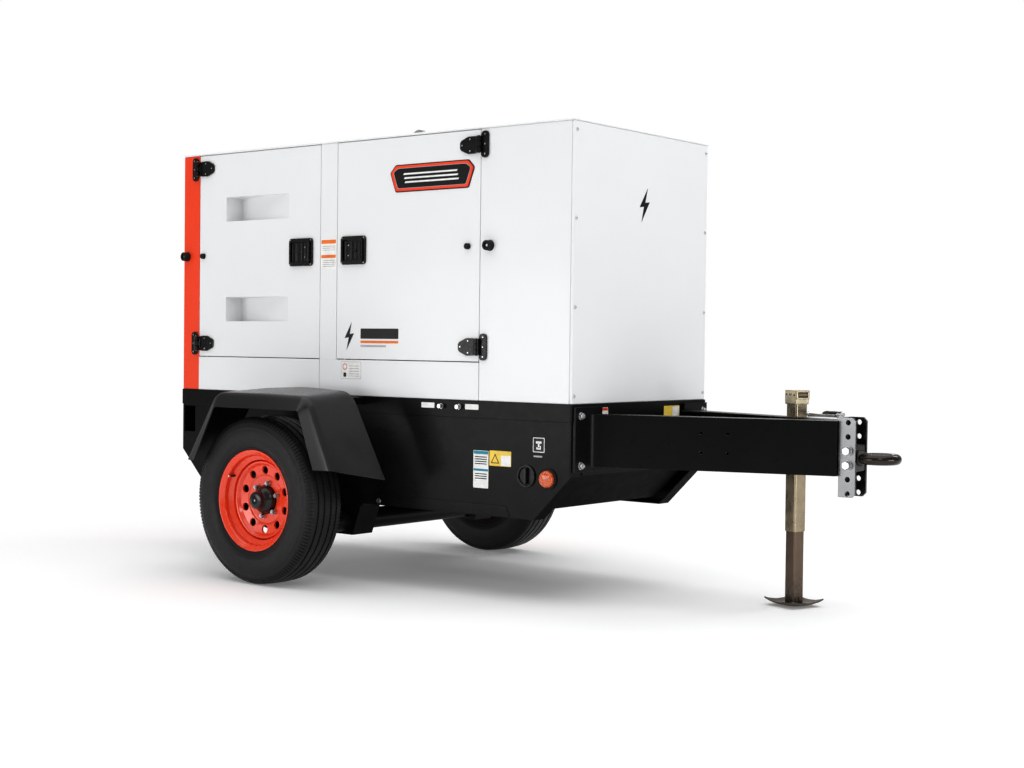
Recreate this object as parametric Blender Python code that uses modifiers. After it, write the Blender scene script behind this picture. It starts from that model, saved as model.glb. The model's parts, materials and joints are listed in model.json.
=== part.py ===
"""Towable diesel generator: a sound-proofed generator set on a single-axle trailer.

Metres, +Z up. +X is the towing direction, so the coupler is at +X and the control end at -X.
Stations along the trailer are measured from the wheel axle, and one empty at AXLE_X carries
every part, so that the object's own origin is the middle of its footprint on the ground.
"right" is the -Y side and "left" the +Y side, as seen by a driver looking along +X.
"""

import math

import bmesh
import bpy
from mathutils import Matrix, Vector

GAP = 0.0003                 # clearance between touching pieces

# Running gear: ST205/75R15 tyre on a 15 inch, 6 stud wheel, and a torsion axle
AXLE_X = -0.7820             # axle station, from the middle of the overall length
WHEEL_Z = 0.3445
WHEEL_Y = 0.7355             # middle plane of the rim
TYRE_RADIUS = 0.3445
RIM_RADIUS = 0.2074
STUD_CIRCLE = 0.0699
STUD_COUNT = 6
STUD_START = 17 / 360          # first stud, as a part of a turn
VENT_CIRCLE = 0.122
VENT_COUNT = 10
ARM_PIVOT_X = 0.150
ARM_PIVOT_Z = 0.245
ARM_INNER_Y = 0.572
ARM_OUTER_Y = 0.602

# Enclosure and base
REAR_X = -0.862
FRONT_X = 1.345
HALF_WIDTH = 0.468
FLOOR_Z = 0.773              # top of the deck frame, bottom of the enclosure
TOP_Z = 1.828
DECK_BOTTOM_Z = 0.705
CHAMFER_Z = 0.500
BASE_BOTTOM_Z = 0.328
BASE_CHAMFER = 0.172
SHEET = 0.0195               # thickness of the lined body panels
PILLAR_X = -0.757            # where the coloured rear pillar meets the rear door
POST_X = (0.019, 0.1155)
FIXED_PANEL_X = 0.8965
SILL_TOP_Z = 0.922
DOOR_BOTTOM_Z = 0.925
DOOR_TOP_Z = 1.826
REAR_DOOR_X = (-0.7537, 0.016)
FRONT_DOOR_X = (0.1185, 0.8935)
SCOOP_X = (-0.577, -0.175)
SCOOP_DEPTH = 0.098
SCOOP_Z = ((1.082, 1.188), (1.526, 1.632))
HINGE_Z = (0.982, 1.767)
HINGE_OFFSET = 0.017         # hinge pins stand this far out of the body side
LATCH_Z = 1.376
LATCH_SIZE = (0.140, 0.118)

# Drawbar, coupler and jack
BEAM_Z = (0.536, 0.734)
BEAM_TAIL = Vector((1.3610, 0.349, 0.0))
MOUNT_X = (1.349, 1.361)     # the drawbar's bolting flanges
MOUNT_Y = (0.290, 0.462)
BEAM_NOSE = Vector((2.2240, 0.064, 0.0))
BEAM_FLANGE = 0.075
BEAM_SHEET = 0.006
COUPLER_X = (2.2243, 2.290)
COUPLER_Z = (0.461, 0.747)
COUPLER_HALF = 0.0476
COUPLER_SHEET = 0.0095
COUPLER_HOLE_X = 2.261
COUPLER_HOLE_TOP = 0.729
COUPLER_PITCH = 0.0508
COUPLER_HOLES = 6
LUNETTE_X = 2.363
LUNETTE_Z = 0.602
LUNETTE_RADIUS = 0.057
LUNETTE_BAR = 0.019
JACK = Vector((1.902, 0.237, 0.0))
JACK_TUBE = 0.05715
JACK_LEG = 0.0508
CRANK_REACH = 0.165

STEPS = 28                   # sides of the larger turned parts

COLOURS = {
    "white": ((0.78, 0.78, 0.77), 0.38, 0.0),
    "orange": ((0.80, 0.07, 0.015), 0.36, 0.0),
    "black": ((0.018, 0.018, 0.019), 0.42, 0.0),
    "rubber": ((0.020, 0.020, 0.021), 0.85, 0.0),
    "zinc": ((0.62, 0.56, 0.44), 0.35, 1.0),
    "steel": ((0.60, 0.60, 0.60), 0.35, 1.0),
    "cast": ((0.16, 0.17, 0.18), 0.60, 0.4),
    "aluminium": ((0.70, 0.71, 0.72), 0.40, 1.0),
    "grey": ((0.33, 0.34, 0.35), 0.50, 0.0),
    "red": ((0.65, 0.02, 0.02), 0.40, 0.0),
}


# ---------------------------------------------------------------- scene, materials and helpers

for leftover in list(bpy.data.objects):
    bpy.data.objects.remove(leftover)

parts = bpy.data.collections.new("towable_diesel_generator")
cutters = bpy.data.collections.new("cutters")
bpy.context.scene.collection.children.link(parts)
bpy.context.scene.collection.children.link(cutters)

trailer = bpy.data.objects.new("trailer", None)
trailer.location = (AXLE_X, 0.0, 0.0)
parts.objects.link(trailer)


def make_material(name, colour, roughness, metallic):
    material = bpy.data.materials.new(name)
    material.use_nodes = True
    shader = material.node_tree.nodes["Principled BSDF"]
    shader.inputs["Base Color"].default_value = (*colour, 1.0)
    shader.inputs["Roughness"].default_value = roughness
    shader.inputs["Metallic"].default_value = metallic
    return material


def new_object(name, mesh, collection):
    obj = bpy.data.objects.new(name, mesh)
    collection.objects.link(obj)
    obj.parent = trailer
    if collection is cutters:
        obj.hide_render = True
        obj.display_type = "WIRE"
    return obj


def from_bmesh(name, bm, collection=cutters):
    mesh = bpy.data.meshes.new(name)
    bm.to_mesh(mesh)
    bm.free()
    return new_object(name, mesh, collection)


def box(name, low, high, collection=cutters):
    low, high = Vector(low), Vector(high)
    bm = bmesh.new()
    matrix = Matrix.Translation((low + high) / 2) @ Matrix.Diagonal((*(high - low), 1.0))
    bmesh.ops.create_cube(bm, size=1.0, matrix=matrix)
    return from_bmesh(name, bm, collection)


def rod(name, start, end, radius, end_radius=None, sides=16, collection=cutters):
    """A cylinder, or a cone when end_radius differs, from start to end."""
    start, end = Vector(start), Vector(end)
    direction = end - start
    turn = direction.to_track_quat("Z", "Y").to_matrix().to_4x4()
    bm = bmesh.new()
    bmesh.ops.create_cone(
        bm,
        cap_ends=True,
        segments=sides,
        radius1=radius,
        radius2=radius if end_radius is None else end_radius,
        depth=direction.length,
        matrix=Matrix.Translation((start + end) / 2) @ turn,
    )
    return from_bmesh(name, bm, collection)


def curve_to_mesh(name, curve_object, collection):
    """Makes a filled curve a closed mesh, with its caps welded."""
    bpy.context.view_layer.update()
    evaluated = curve_object.evaluated_get(bpy.context.evaluated_depsgraph_get())
    mesh = bpy.data.meshes.new_from_object(evaluated)
    bm = bmesh.new()
    bm.from_mesh(mesh)
    bmesh.ops.remove_doubles(bm, verts=bm.verts, dist=0.00001)
    bm.transform(trailer.matrix_world.inverted() @ curve_object.matrix_world)
    bm.to_mesh(mesh)
    bm.free()
    bpy.data.objects.remove(curve_object)
    return new_object(name, mesh, collection)


# A flat outline's own X, Y and thickness directions, for each axis that it is extruded along
PLANES = {
    "X": Matrix(((0, 0, 1, 0), (1, 0, 0, 0), (0, 1, 0, 0), (0, 0, 0, 1))),
    "Y": Matrix(((1, 0, 0, 0), (0, 0, -1, 0), (0, 1, 0, 0), (0, 0, 0, 1))),
    "Z": Matrix.Identity(4),
}


def plate(name, outline, axis, low, high, holes=(), collection=cutters):
    """Extrudes a flat outline along axis from low to high.

    The outline is (y, z) for axis X, (x, z) for axis Y and (x, y) for axis Z. Holes are
    further outlines inside it.
    """
    curve = bpy.data.curves.new(name, "CURVE")
    curve.dimensions = "2D"
    curve.fill_mode = "BOTH"
    curve.extrude = (high - low) / 2
    for points in (outline, *holes):
        spline = curve.splines.new("POLY")
        spline.points.add(len(points) - 1)
        for target, (u, v) in zip(spline.points, points):
            target.co = (u, v, 0.0, 1.0)
        spline.use_cyclic_u = True
    obj = new_object(name + "_outline", curve, cutters)
    shift = {"X": (1, 0, 0), "Y": (0, 1, 0), "Z": (0, 0, 1)}[axis]
    obj.matrix_basis = Matrix.Translation(Vector(shift) * (low + high) / 2) @ PLANES[axis]
    return curve_to_mesh(name, obj, collection)


def circle(centre, radius, sides=12):
    """Points around a circle, for a plate's outline or a hole in it."""
    return [
        (
            centre[0] + radius * math.cos(math.tau * i / sides),
            centre[1] + radius * math.sin(math.tau * i / sides),
        )
        for i in range(sides)
    ]


def rectangle(low, high):
    return [(low[0], low[1]), (high[0], low[1]), (high[0], high[1]), (low[0], high[1])]


def pipe(name, points, radius, sides_resolution=2, collection=parts):
    """A round bar along points, with filled ends."""
    curve = bpy.data.curves.new(name, "CURVE")
    curve.dimensions = "3D"
    curve.bevel_depth = radius
    curve.bevel_resolution = sides_resolution
    curve.use_fill_caps = True
    spline = curve.splines.new("POLY")
    spline.points.add(len(points) - 1)
    for target, point in zip(spline.points, points):
        target.co = (*point, 1.0)
    return curve_to_mesh(name, new_object(name + "_path", curve, cutters), collection)


def turned(name, profile, centre, direction, steps=STEPS, closed=False, collection=parts):
    """Turns a profile of (radius, height) points round an axis through centre.

    Heights run along direction, and the profile runs down its outer side from top to bottom.
    """
    bm = bmesh.new()
    points = [bm.verts.new((radius, 0.0, height)) for radius, height in profile]
    for first, second in zip(points, points[1:]):
        bm.edges.new((first, second))
    if closed:
        bm.edges.new((points[-1], points[0]))
    obj = from_bmesh(name, bm, collection)
    turn = Vector(direction).to_track_quat("Z", "Y").to_matrix().to_4x4()
    obj.matrix_basis = Matrix.Translation(centre) @ turn
    screw = obj.modifiers.new("turn", "SCREW")
    screw.axis = "Z"
    screw.steps = steps
    screw.render_steps = steps
    screw.use_merge_vertices = True
    screw.merge_threshold = 0.0001
    screw.use_smooth_shade = True
    return obj


def boolean(obj, other, operation):
    modifier = obj.modifiers.new(operation.lower(), "BOOLEAN")
    modifier.operation = operation
    modifier.object = other
    modifier.solver = "EXACT"


def join(obj, *others):
    for other in others:
        boolean(obj, other, "UNION")
    return obj


def cut(obj, *others):
    for other in others:
        boolean(obj, other, "DIFFERENCE")
    return obj


def bevel(obj, width, segments=1, angle=50.0):
    modifier = obj.modifiers.new("bevel", "BEVEL")
    modifier.width = width
    modifier.segments = segments
    modifier.limit_method = "ANGLE"
    modifier.angle_limit = math.radians(angle)
    return obj


def finish(obj, name, colour):
    """Names the finished part, moves it among the parts and gives it its material."""
    obj.name = name
    obj.data.name = name
    if obj.name not in parts.objects:
        parts.objects.link(obj)
        cutters.objects.unlink(obj)
    obj.hide_render = False
    obj.display_type = "TEXTURED"
    obj.data.materials.clear()
    obj.data.materials.append(materials[colour])
    return obj


def pivot_on(empty, *objects):
    """Parents parts to the empty on their joint's axis, and puts their origins there."""
    for obj in objects:
        local = empty.matrix_basis.inverted() @ obj.matrix_basis
        obj.data.transform(local)
        obj.parent = empty
        obj.matrix_basis = Matrix.Identity(4)


def pivot(name, location, parent=None):
    empty = bpy.data.objects.new(name, None)
    empty.empty_display_size = 0.1
    parts.objects.link(empty)
    empty.parent = parent or trailer
    empty.location = location
    return empty


materials = {name: make_material(name, *values) for name, values in COLOURS.items()}


# ---------------------------------------------------------------- base, deck and tank

def base_outline(inset):
    """The skid base seen from the side, moved in by inset all round its lower edges."""
    corner = BASE_CHAMFER - inset * (2.0 - math.sqrt(2.0))
    low = BASE_BOTTOM_Z + inset
    rear, front = REAR_X + inset, FRONT_X - inset
    return [
        (rear, DECK_BOTTOM_Z - GAP),
        (rear, low + corner),
        (rear + corner, low),
        (front - corner, low),
        (front, low + corner),
        (front, DECK_BOTTOM_Z - GAP),
    ]


def make_base():
    """Two side trays with inward flanges, end plates and floor bars, all welded."""
    wall, flange = 0.005, 0.070
    base = None
    for side in (-1, 1):
        face, lip = side * HALF_WIDTH, side * (HALF_WIDTH - flange)
        low, high = sorted((face, lip))
        tray = plate("tray", base_outline(0.0), "Y", low, high)
        inner = sorted((side * (HALF_WIDTH - wall), side * (HALF_WIDTH - flange - 0.01)))
        pocket = base_outline(wall)
        pocket[0] = (pocket[0][0], DECK_BOTTOM_Z + 0.01)
        pocket[-1] = (pocket[-1][0], DECK_BOTTOM_Z + 0.01)
        cut(tray, plate("tray_pocket", pocket, "Y", *inner))
        window = box("tray_window", (REAR_X + 0.010, low - 0.01, 0.580),
                     (REAR_X + 0.084, high + 0.01, DECK_BOTTOM_Z - 0.008))
        cut(tray, window)
        if base is None:
            base = tray
        else:
            join(base, tray)
    inside = HALF_WIDTH - flange + 0.002
    low, high = CHAMFER_Z + 0.003, DECK_BOTTOM_Z - 2 * GAP
    front = box("front_plate", (FRONT_X - 0.004, -inside, low), (MOUNT_X[0] - GAP, inside, high))
    cable_slots = [
        rectangle((side * 0.345 - 0.045, 0.580), (side * 0.345 + 0.045, 0.690)) for side in (-1, 1)
    ]
    rear_outline = rectangle((-inside, low), (inside, high))
    rear = plate("rear_plate", rear_outline, "X", REAR_X + 0.001, REAR_X + 0.007, holes=cable_slots)
    bars = [
        box("floor_bar", (x - 0.03, -0.43, BASE_BOTTOM_Z + 0.001), (x + 0.03, 0.43, BASE_BOTTOM_Z + 0.028))
        for x in (-0.55, 0.15, 0.95)
    ]
    join(base, front, rear, *bars)
    return finish(base, "base_frame", "black")


def make_deck():
    outline = rectangle((REAR_X - 0.003, -HALF_WIDTH - 0.003), (FRONT_X + 0.003, HALF_WIDTH + 0.003))
    window = rectangle((REAR_X + 0.060, -HALF_WIDTH + 0.055), (FRONT_X - 0.060, HALF_WIDTH - 0.055))
    ring = plate("deck", outline, "Z", DECK_BOTTOM_Z, FLOOR_Z, holes=[window])
    wall = 0.006
    hollow_low = (REAR_X - 0.003 + wall, -HALF_WIDTH - 0.003 + wall, DECK_BOTTOM_Z + wall)
    hollow_high = (FRONT_X + 0.003 - wall, HALF_WIDTH + 0.003 - wall, FLOOR_Z - wall)
    cut(ring, box("deck_hollow", hollow_low, hollow_high))
    rails = [
        box("skid_rail", (REAR_X + 0.05, y - 0.03, DECK_BOTTOM_Z + 0.003), (FRONT_X - 0.05, y + 0.03, FLOOR_Z - 0.001))
        for y in (-0.17, 0.17)
    ]
    return finish(join(ring, *rails), "deck_frame", "black")


def make_tank():
    outline = [
        (-0.77, 0.7045), (-0.77, 0.535), (-0.60, 0.361),
        (1.165, 0.361), (1.318, 0.514), (1.318, 0.7045),
    ]
    tank = plate("tank", outline, "Y", -0.392, 0.392)
    bevel(tank, 0.012)
    neck = rod("neck", (-0.64, -0.33, 0.690), (-0.64, -0.33, 0.800), 0.030)
    finish(join(tank, neck), "fuel_tank", "black")
    cap = rod("cap", (-0.64, -0.33, 0.8003), (-0.64, -0.33, 0.832), 0.041, sides=12)
    pivot_on(pivot("fuel_cap_pivot", (-0.64, -0.33, 0.80)), finish(cap, "fuel_cap", "black"))


# ---------------------------------------------------------------- drawbar, coupler and jack

def beam_direction(side):
    direction = BEAM_NOSE - BEAM_TAIL
    return Vector((direction.x, direction.y * side, 0.0)).normalized()


def make_drawbar(side, name):
    """A pressed channel, web outwards, with a bolting flange turned out at its rear end."""
    along = beam_direction(side)
    inward = Vector((along.y, -along.x, 0.0)) * side
    tail = Vector((BEAM_TAIL.x, BEAM_TAIL.y * side, 0.0))
    length = (BEAM_NOSE - BEAM_TAIL).length

    def section_plate(outline, low, high):
        points = [tail + along * u + inward * v for u, v in outline]
        return plate("beam_plate", [(p.x, p.y) for p in points], "Z", low, high)

    def strip(near, far, overrun):
        return rectangle((-overrun, near), (length + overrun, far))

    beam = section_plate(strip(0.0, BEAM_FLANGE, 0.10), *BEAM_Z)
    hollow = section_plate(strip(BEAM_SHEET, 0.2, 0.15), BEAM_Z[0] + BEAM_SHEET, BEAM_Z[1] - BEAM_SHEET)
    rear_cut = box("rear_cut", (BEAM_TAIL.x - 0.3, -0.7, 0.4), (BEAM_TAIL.x - 0.001, 0.7, 0.9))
    nose_cut = box("nose_cut", (BEAM_NOSE.x, -0.7, 0.4), (BEAM_NOSE.x + 0.3, 0.7, 0.9))
    low, high = sorted((side * GAP / 2, -side * 0.5))
    middle_cut = box("middle_cut", (1.5, low, 0.4), (2.6, high, 0.9))
    cut(beam, hollow, rear_cut, nose_cut, middle_cut)
    for setback in (0.395, 0.495):
        for z in (0.603, 0.675):
            centre = tail + along * (length - setback) + Vector((0, 0, z))
            cut(beam, rod("beam_hole", centre - inward * 0.02, centre + inward * 0.02, 0.006, sides=8))
    low, high = sorted((side * MOUNT_Y[0], side * MOUNT_Y[1]))
    mount = plate("beam_mount", rectangle((low, 0.518), (high, 0.762)), "X", *MOUNT_X)
    return finish(join(beam, mount), name, "black")


def coupler_hole_z(index):
    return COUPLER_HOLE_TOP - COUPLER_PITCH * index


def make_coupler():
    """A channel open to the front, with a column of adjusting holes in both flanges."""
    back, front = COUPLER_X
    low, high = COUPLER_Z
    chamfer = 0.013
    side_outline = [
        (back, low), (front - chamfer, low), (front, low + chamfer),
        (front, high - chamfer), (front - chamfer, high), (back, high),
    ]
    holes = [circle((COUPLER_HOLE_X, coupler_hole_z(i)), 0.0102, 10) for i in range(COUPLER_HOLES)]
    channel = box("coupler_web", (back, -COUPLER_HALF + 0.001, low), (back + 0.0095, COUPLER_HALF - 0.001, high))
    for side in (-1, 1):
        faces = sorted((side * COUPLER_HALF, side * (COUPLER_HALF - COUPLER_SHEET)))
        join(channel, plate("coupler_flange", side_outline, "Y", *faces, holes=holes))
    return finish(channel, "coupler_channel", "black")


def make_lunette():
    """The towing ring, on a block that fits between the coupler's flanges."""
    inside = COUPLER_HALF - COUPLER_SHEET - GAP
    heights = (coupler_hole_z(2), coupler_hole_z(3))
    block_outline = rectangle((2.2345, heights[1] - 0.024), (2.2880, heights[0] + 0.024))
    holes = [circle((COUPLER_HOLE_X, z), 0.0102, 10) for z in heights]
    block = plate("lunette_block", block_outline, "Y", -inside, inside, holes=holes)
    bm = bmesh.new()
    ring_sides, bar_sides = 24, 10
    bmesh.ops.create_circle(bm, segments=bar_sides, radius=LUNETTE_BAR)
    section = [(LUNETTE_RADIUS + v.co.x, v.co.y) for v in bm.verts]
    bm.free()
    ring = turned(
        "lunette_torus", list(reversed(section)), (LUNETTE_X, 0.0, LUNETTE_Z), (0, 0, 1),
        steps=ring_sides, closed=True, collection=cutters,
    )
    neck = rod("lunette_neck", (2.280, 0, LUNETTE_Z), (2.312, 0, LUNETTE_Z), 0.030, 0.0185, sides=12)
    finish(join(block, neck, ring), "lunette_ring", "black")
    for index, name in ((2, "coupler_bolt_upper"), (3, "coupler_bolt_lower")):
        z = coupler_hole_z(index)
        reach = COUPLER_HALF + 0.020
        head = rod("bolt_head", (COUPLER_HOLE_X, -reach, z), (COUPLER_HOLE_X, -COUPLER_HALF - GAP, z), 0.0165, sides=6)
        shank = rod("bolt_shank", (COUPLER_HOLE_X, -reach + 0.003, z), (COUPLER_HOLE_X, reach, z), 0.0093, sides=10)
        nut = rod("bolt_nut", (COUPLER_HOLE_X, COUPLER_HALF + GAP, z), (COUPLER_HOLE_X, reach - 0.004, z), 0.0165, sides=6)
        finish(join(head, shank, nut), name, "steel")


def make_jack():
    """A square side-wind jack on the outer face of the left beam: tube, leg with foot, crank."""
    along = beam_direction(1)
    outward = Vector((-along.y, along.x, 0.0))
    frame = Matrix.Translation(JACK) @ Matrix(
        ((along.x, outward.x, 0, 0), (along.y, outward.y, 0, 0), (0, 0, 1, 0), (0, 0, 0, 1))
    )
    base = pivot("jack_base", (0, 0, 0))
    base.matrix_basis = frame

    def in_frame(obj):
        obj.parent = base
        return obj

    half, wall = JACK_TUBE / 2, 0.0029
    tube = in_frame(box("tube", (-half, -half, 0.288), (half, half, 0.785)))
    bore = in_frame(box("tube_bore", (-half + wall, -half + wall, 0.2), (half - wall, half - wall, 0.775)))
    bevel(tube, 0.006, 2)
    cut(tube, bore)
    head = in_frame(bevel(box("head", (-0.031, -0.036, 0.781), (0.031, 0.036, 0.832)), 0.004))
    web_distance = (JACK - BEAM_TAIL).dot(outward) - GAP
    bracket = in_frame(box("bracket", (-0.055, -web_distance, 0.56), (0.055, -half + 0.002, 0.71)))
    finish(join(tube, head, bracket), "jack_tube", "zinc")
    leg_half = JACK_LEG / 2
    leg = in_frame(bevel(box("leg", (-leg_half, -leg_half, 0.014), (leg_half, leg_half, 0.520)), 0.005, 2))
    foot = bpy.data.meshes.new("foot")
    bm = bmesh.new()
    bmesh.ops.create_grid(bm, x_segments=4, y_segments=4, size=0.080)
    for vert in bm.verts:
        reach = (abs(vert.co.x) / 0.080) ** 2 + (abs(vert.co.y) / 0.080) ** 2
        vert.co.z = 0.0001 + 0.0135 * reach
    bm.to_mesh(foot)
    bm.free()
    foot = in_frame(new_object("foot", foot, cutters))
    thicken = foot.modifiers.new("thickness", "SOLIDIFY")
    thicken.thickness = 0.006
    thicken.offset = 1.0
    collar = in_frame(box("collar", (-0.031, -0.031, 0.003), (0.031, 0.031, 0.020)))
    finish(join(leg, collar, foot), "jack_leg", "zinc")

    # the crank's grip is folded back along its arm
    crank_z = 0.736
    end = CRANK_REACH
    hub = in_frame(rod("hub", (0, 0.0289, crank_z), (0, 0.062, crank_z), 0.013, sides=12))
    arm = in_frame(rod("arm", (0, 0.054, crank_z), (end, 0.054, crank_z + 0.002), 0.006, sides=8))
    fold_z = crank_z + 0.006
    link = in_frame(rod("link", (end - 0.004, 0.052, crank_z + 0.002), (end - 0.004, 0.084, fold_z), 0.006, sides=8))
    grip = in_frame(rod("grip", (end + 0.004, 0.080, fold_z), (end - 0.105, 0.080, fold_z), 0.0125, sides=12))
    crank = finish(join(hub, arm, link, grip), "jack_crank", "black")
    crank_pivot = pivot("jack_crank_pivot", (0, 0, 0))
    crank_pivot.matrix_basis = frame @ Matrix.Translation((0, 0.05, crank_z))
    crank.parent = crank_pivot
    for piece in (hub, arm, link, grip):
        piece.parent = crank_pivot
        piece.matrix_basis = Matrix.Translation((0, -0.05, -crank_z))


# ---------------------------------------------------------------- running gear

def make_axle():
    """The torsion axle's tube and its four hangers under the base."""
    tube = rod("axle_tube", (ARM_PIVOT_X, -ARM_INNER_Y + 0.004, ARM_PIVOT_Z),
               (ARM_PIVOT_X, ARM_INNER_Y - 0.004, ARM_PIVOT_Z), 0.0445, sides=20)
    for side in (-1, 1):
        for y in (0.345, 0.455):
            outline = [
                (ARM_PIVOT_X - 0.11, BASE_BOTTOM_Z - GAP), (ARM_PIVOT_X - 0.06, ARM_PIVOT_Z - 0.055),
                (ARM_PIVOT_X + 0.06, ARM_PIVOT_Z - 0.055), (ARM_PIVOT_X + 0.11, BASE_BOTTOM_Z - GAP),
            ]
            faces = sorted((side * y, side * (y - 0.008)))
            join(tube, plate("hanger", outline, "Y", *faces))
        front = [
            (ARM_PIVOT_X + 0.054, ARM_PIVOT_Z - 0.055), (ARM_PIVOT_X + 0.060, ARM_PIVOT_Z - 0.055),
            (ARM_PIVOT_X + 0.110, BASE_BOTTOM_Z - GAP), (ARM_PIVOT_X + 0.104, BASE_BOTTOM_Z - GAP),
        ]
        faces = sorted((side * 0.454, side * 0.338))
        join(tube, plate("hanger_web", front, "Y", *faces))
        faces = sorted((side * 0.456, side * 0.336))
        join(tube, box("hanger_foot", (ARM_PIVOT_X - 0.12, faces[0], BASE_BOTTOM_Z - 0.010),
                       (ARM_PIVOT_X + 0.12, faces[1], BASE_BOTTOM_Z - GAP)))
    return finish(tube, "axle_beam", "black")


def make_arm(side, name):
    """A trailing torsion arm with its stub axle."""
    inner, outer = side * ARM_INNER_Y, side * ARM_OUTER_Y
    low, high = sorted((inner, outer))
    reach = Vector((-ARM_PIVOT_X, WHEEL_Z - ARM_PIVOT_Z))
    across = Vector((-reach.y, reach.x)).normalized()
    start, end = Vector((ARM_PIVOT_X, ARM_PIVOT_Z)), Vector((0.0, WHEEL_Z))
    outline = [start + across * 0.045, start - across * 0.045, end - across * 0.034, end + across * 0.034]
    arm = plate("arm", [tuple(p) for p in reversed(outline)], "Y", low, high)
    eye = rod("arm_eye", (ARM_PIVOT_X, inner, ARM_PIVOT_Z), (ARM_PIVOT_X, outer, ARM_PIVOT_Z), 0.045)
    boss = rod("arm_boss", (0, inner, WHEEL_Z), (0, outer, WHEEL_Z), 0.034)
    spindle = rod("spindle", (0, outer - side * 0.002, WHEEL_Z), (0, side * 0.770, WHEEL_Z), 0.0165, sides=12)
    finish(join(arm, eye, boss, spindle), name, "black")
    swing = pivot(name + "_pivot", (ARM_PIVOT_X, 0, ARM_PIVOT_Z))
    return arm, swing


def wheel_frame(side):
    return (0.0, side * WHEEL_Y, WHEEL_Z), (0.0, side, 0.0)


def make_tyre(side, name):
    """Tread and sidewalls as one closed ring; the profile is half of it, mirrored about w = 0."""
    outside = [
        (0.3445, 0.000), (0.3435, 0.055), (0.3375, 0.0765), (0.3240, 0.0890), (0.3000, 0.0985),
        (0.2650, 0.1015), (0.2250, 0.0955), (0.2088, 0.0835),
    ]
    inside = [(0.2040, 0.0780), (0.1906, 0.0730), (0.1906, 0.0580), (0.2250, 0.0800), (0.2650, 0.0900),
              (0.3050, 0.0850), (0.3290, 0.0600)]
    upper_outside = [point for point in reversed(outside)]
    lower_outside = [(r, -w) for r, w in outside[1:]]
    lower_inside = [(r, -w) for r, w in inside]
    upper_inside = [point for point in reversed(inside)]
    profile = upper_outside + lower_outside + lower_inside + upper_inside
    return finish(turned(name, profile, *wheel_frame(side), closed=True), name, "rubber")


def make_rim(side, name):
    """Barrel and dished disc in one turned loop, with round vents and stud holes."""
    profile = [
        (0.2074, 0.0875), (0.2034, 0.0790), (0.1900, 0.0740), (0.1890, 0.0520), (0.1680, 0.0400),
        (0.1680, -0.0100), (0.1890, -0.0300), (0.1900, -0.0740), (0.2034, -0.0790), (0.2074, -0.0875),
        (0.2034, -0.0875), (0.1860, -0.0760), (0.1850, -0.0280), (0.1640, -0.0080),
        (0.1620, 0.0050), (0.1530, 0.0270), (0.1440, 0.0145), (0.1070, 0.0105), (0.0990, 0.0045), (0.0600, 0.0045),
        (0.0600, 0.0115), (0.0960, 0.0115), (0.1040, 0.0175), (0.1400, 0.0215), (0.1480, 0.0330), (0.1560, 0.0375),
        (0.1630, 0.0200), (0.1640, 0.0420), (0.1850, 0.0540),
        (0.1860, 0.0720), (0.2034, 0.0875),
    ]
    centre, outward = wheel_frame(side)
    rim = turned(name, profile, centre, outward, closed=True)
    middle = side * (WHEEL_Y + 0.015)
    for radius, count, hole, start in (
        (VENT_CIRCLE, VENT_COUNT, 0.017, 0.25),
        (STUD_CIRCLE, STUD_COUNT, 0.0085, STUD_START),
    ):
        for i in range(count):
            angle = math.tau * (i / count + start)
            x, z = radius * math.cos(angle), WHEEL_Z + radius * math.sin(angle)
            cut(rim, rod("rim_hole", (x, middle - 0.06, z), (x, middle + 0.06, z), hole, sides=8))
    return finish(rim, name, "orange")


def make_hub(side, name):
    """Hub barrel, brake drum, wheel flange, six studs with their nuts, and the dust cap."""
    profile = [
        (0.0, 0.0765), (0.029, 0.0755), (0.036, 0.0700), (0.036, 0.0480), (0.047, 0.0400), (0.0565, 0.0300),
        (0.0565, 0.0042), (0.085, 0.0042), (0.118, -0.0060), (0.125, -0.0140), (0.125, -0.0780), (0.117, -0.0780),
        (0.117, -0.0180), (0.056, -0.0180), (0.046, -0.0600), (0.0, -0.0600),
    ]
    centre, outward = wheel_frame(side)
    hub = turned(name, profile, centre, outward, steps=24)
    bore_end = side * 0.780
    cut(hub, rod("hub_bore", (0, side * 0.60, WHEEL_Z), (0, bore_end, WHEEL_Z), 0.0168, sides=12))
    for i in range(STUD_COUNT):
        angle = math.tau * (i / STUD_COUNT + STUD_START)
        x, z = STUD_CIRCLE * math.cos(angle), WHEEL_Z + STUD_CIRCLE * math.sin(angle)
        stud = rod("stud", (x, side * (WHEEL_Y - 0.004), z), (x, side * (WHEEL_Y + 0.032), z), 0.0062, sides=6)
        nut = rod("nut", (x, side * (WHEEL_Y + 0.0118), z), (x, side * (WHEEL_Y + 0.029), z), 0.0120, sides=6)
        join(hub, stud, nut)
    return finish(hub, name, "black")


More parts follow.
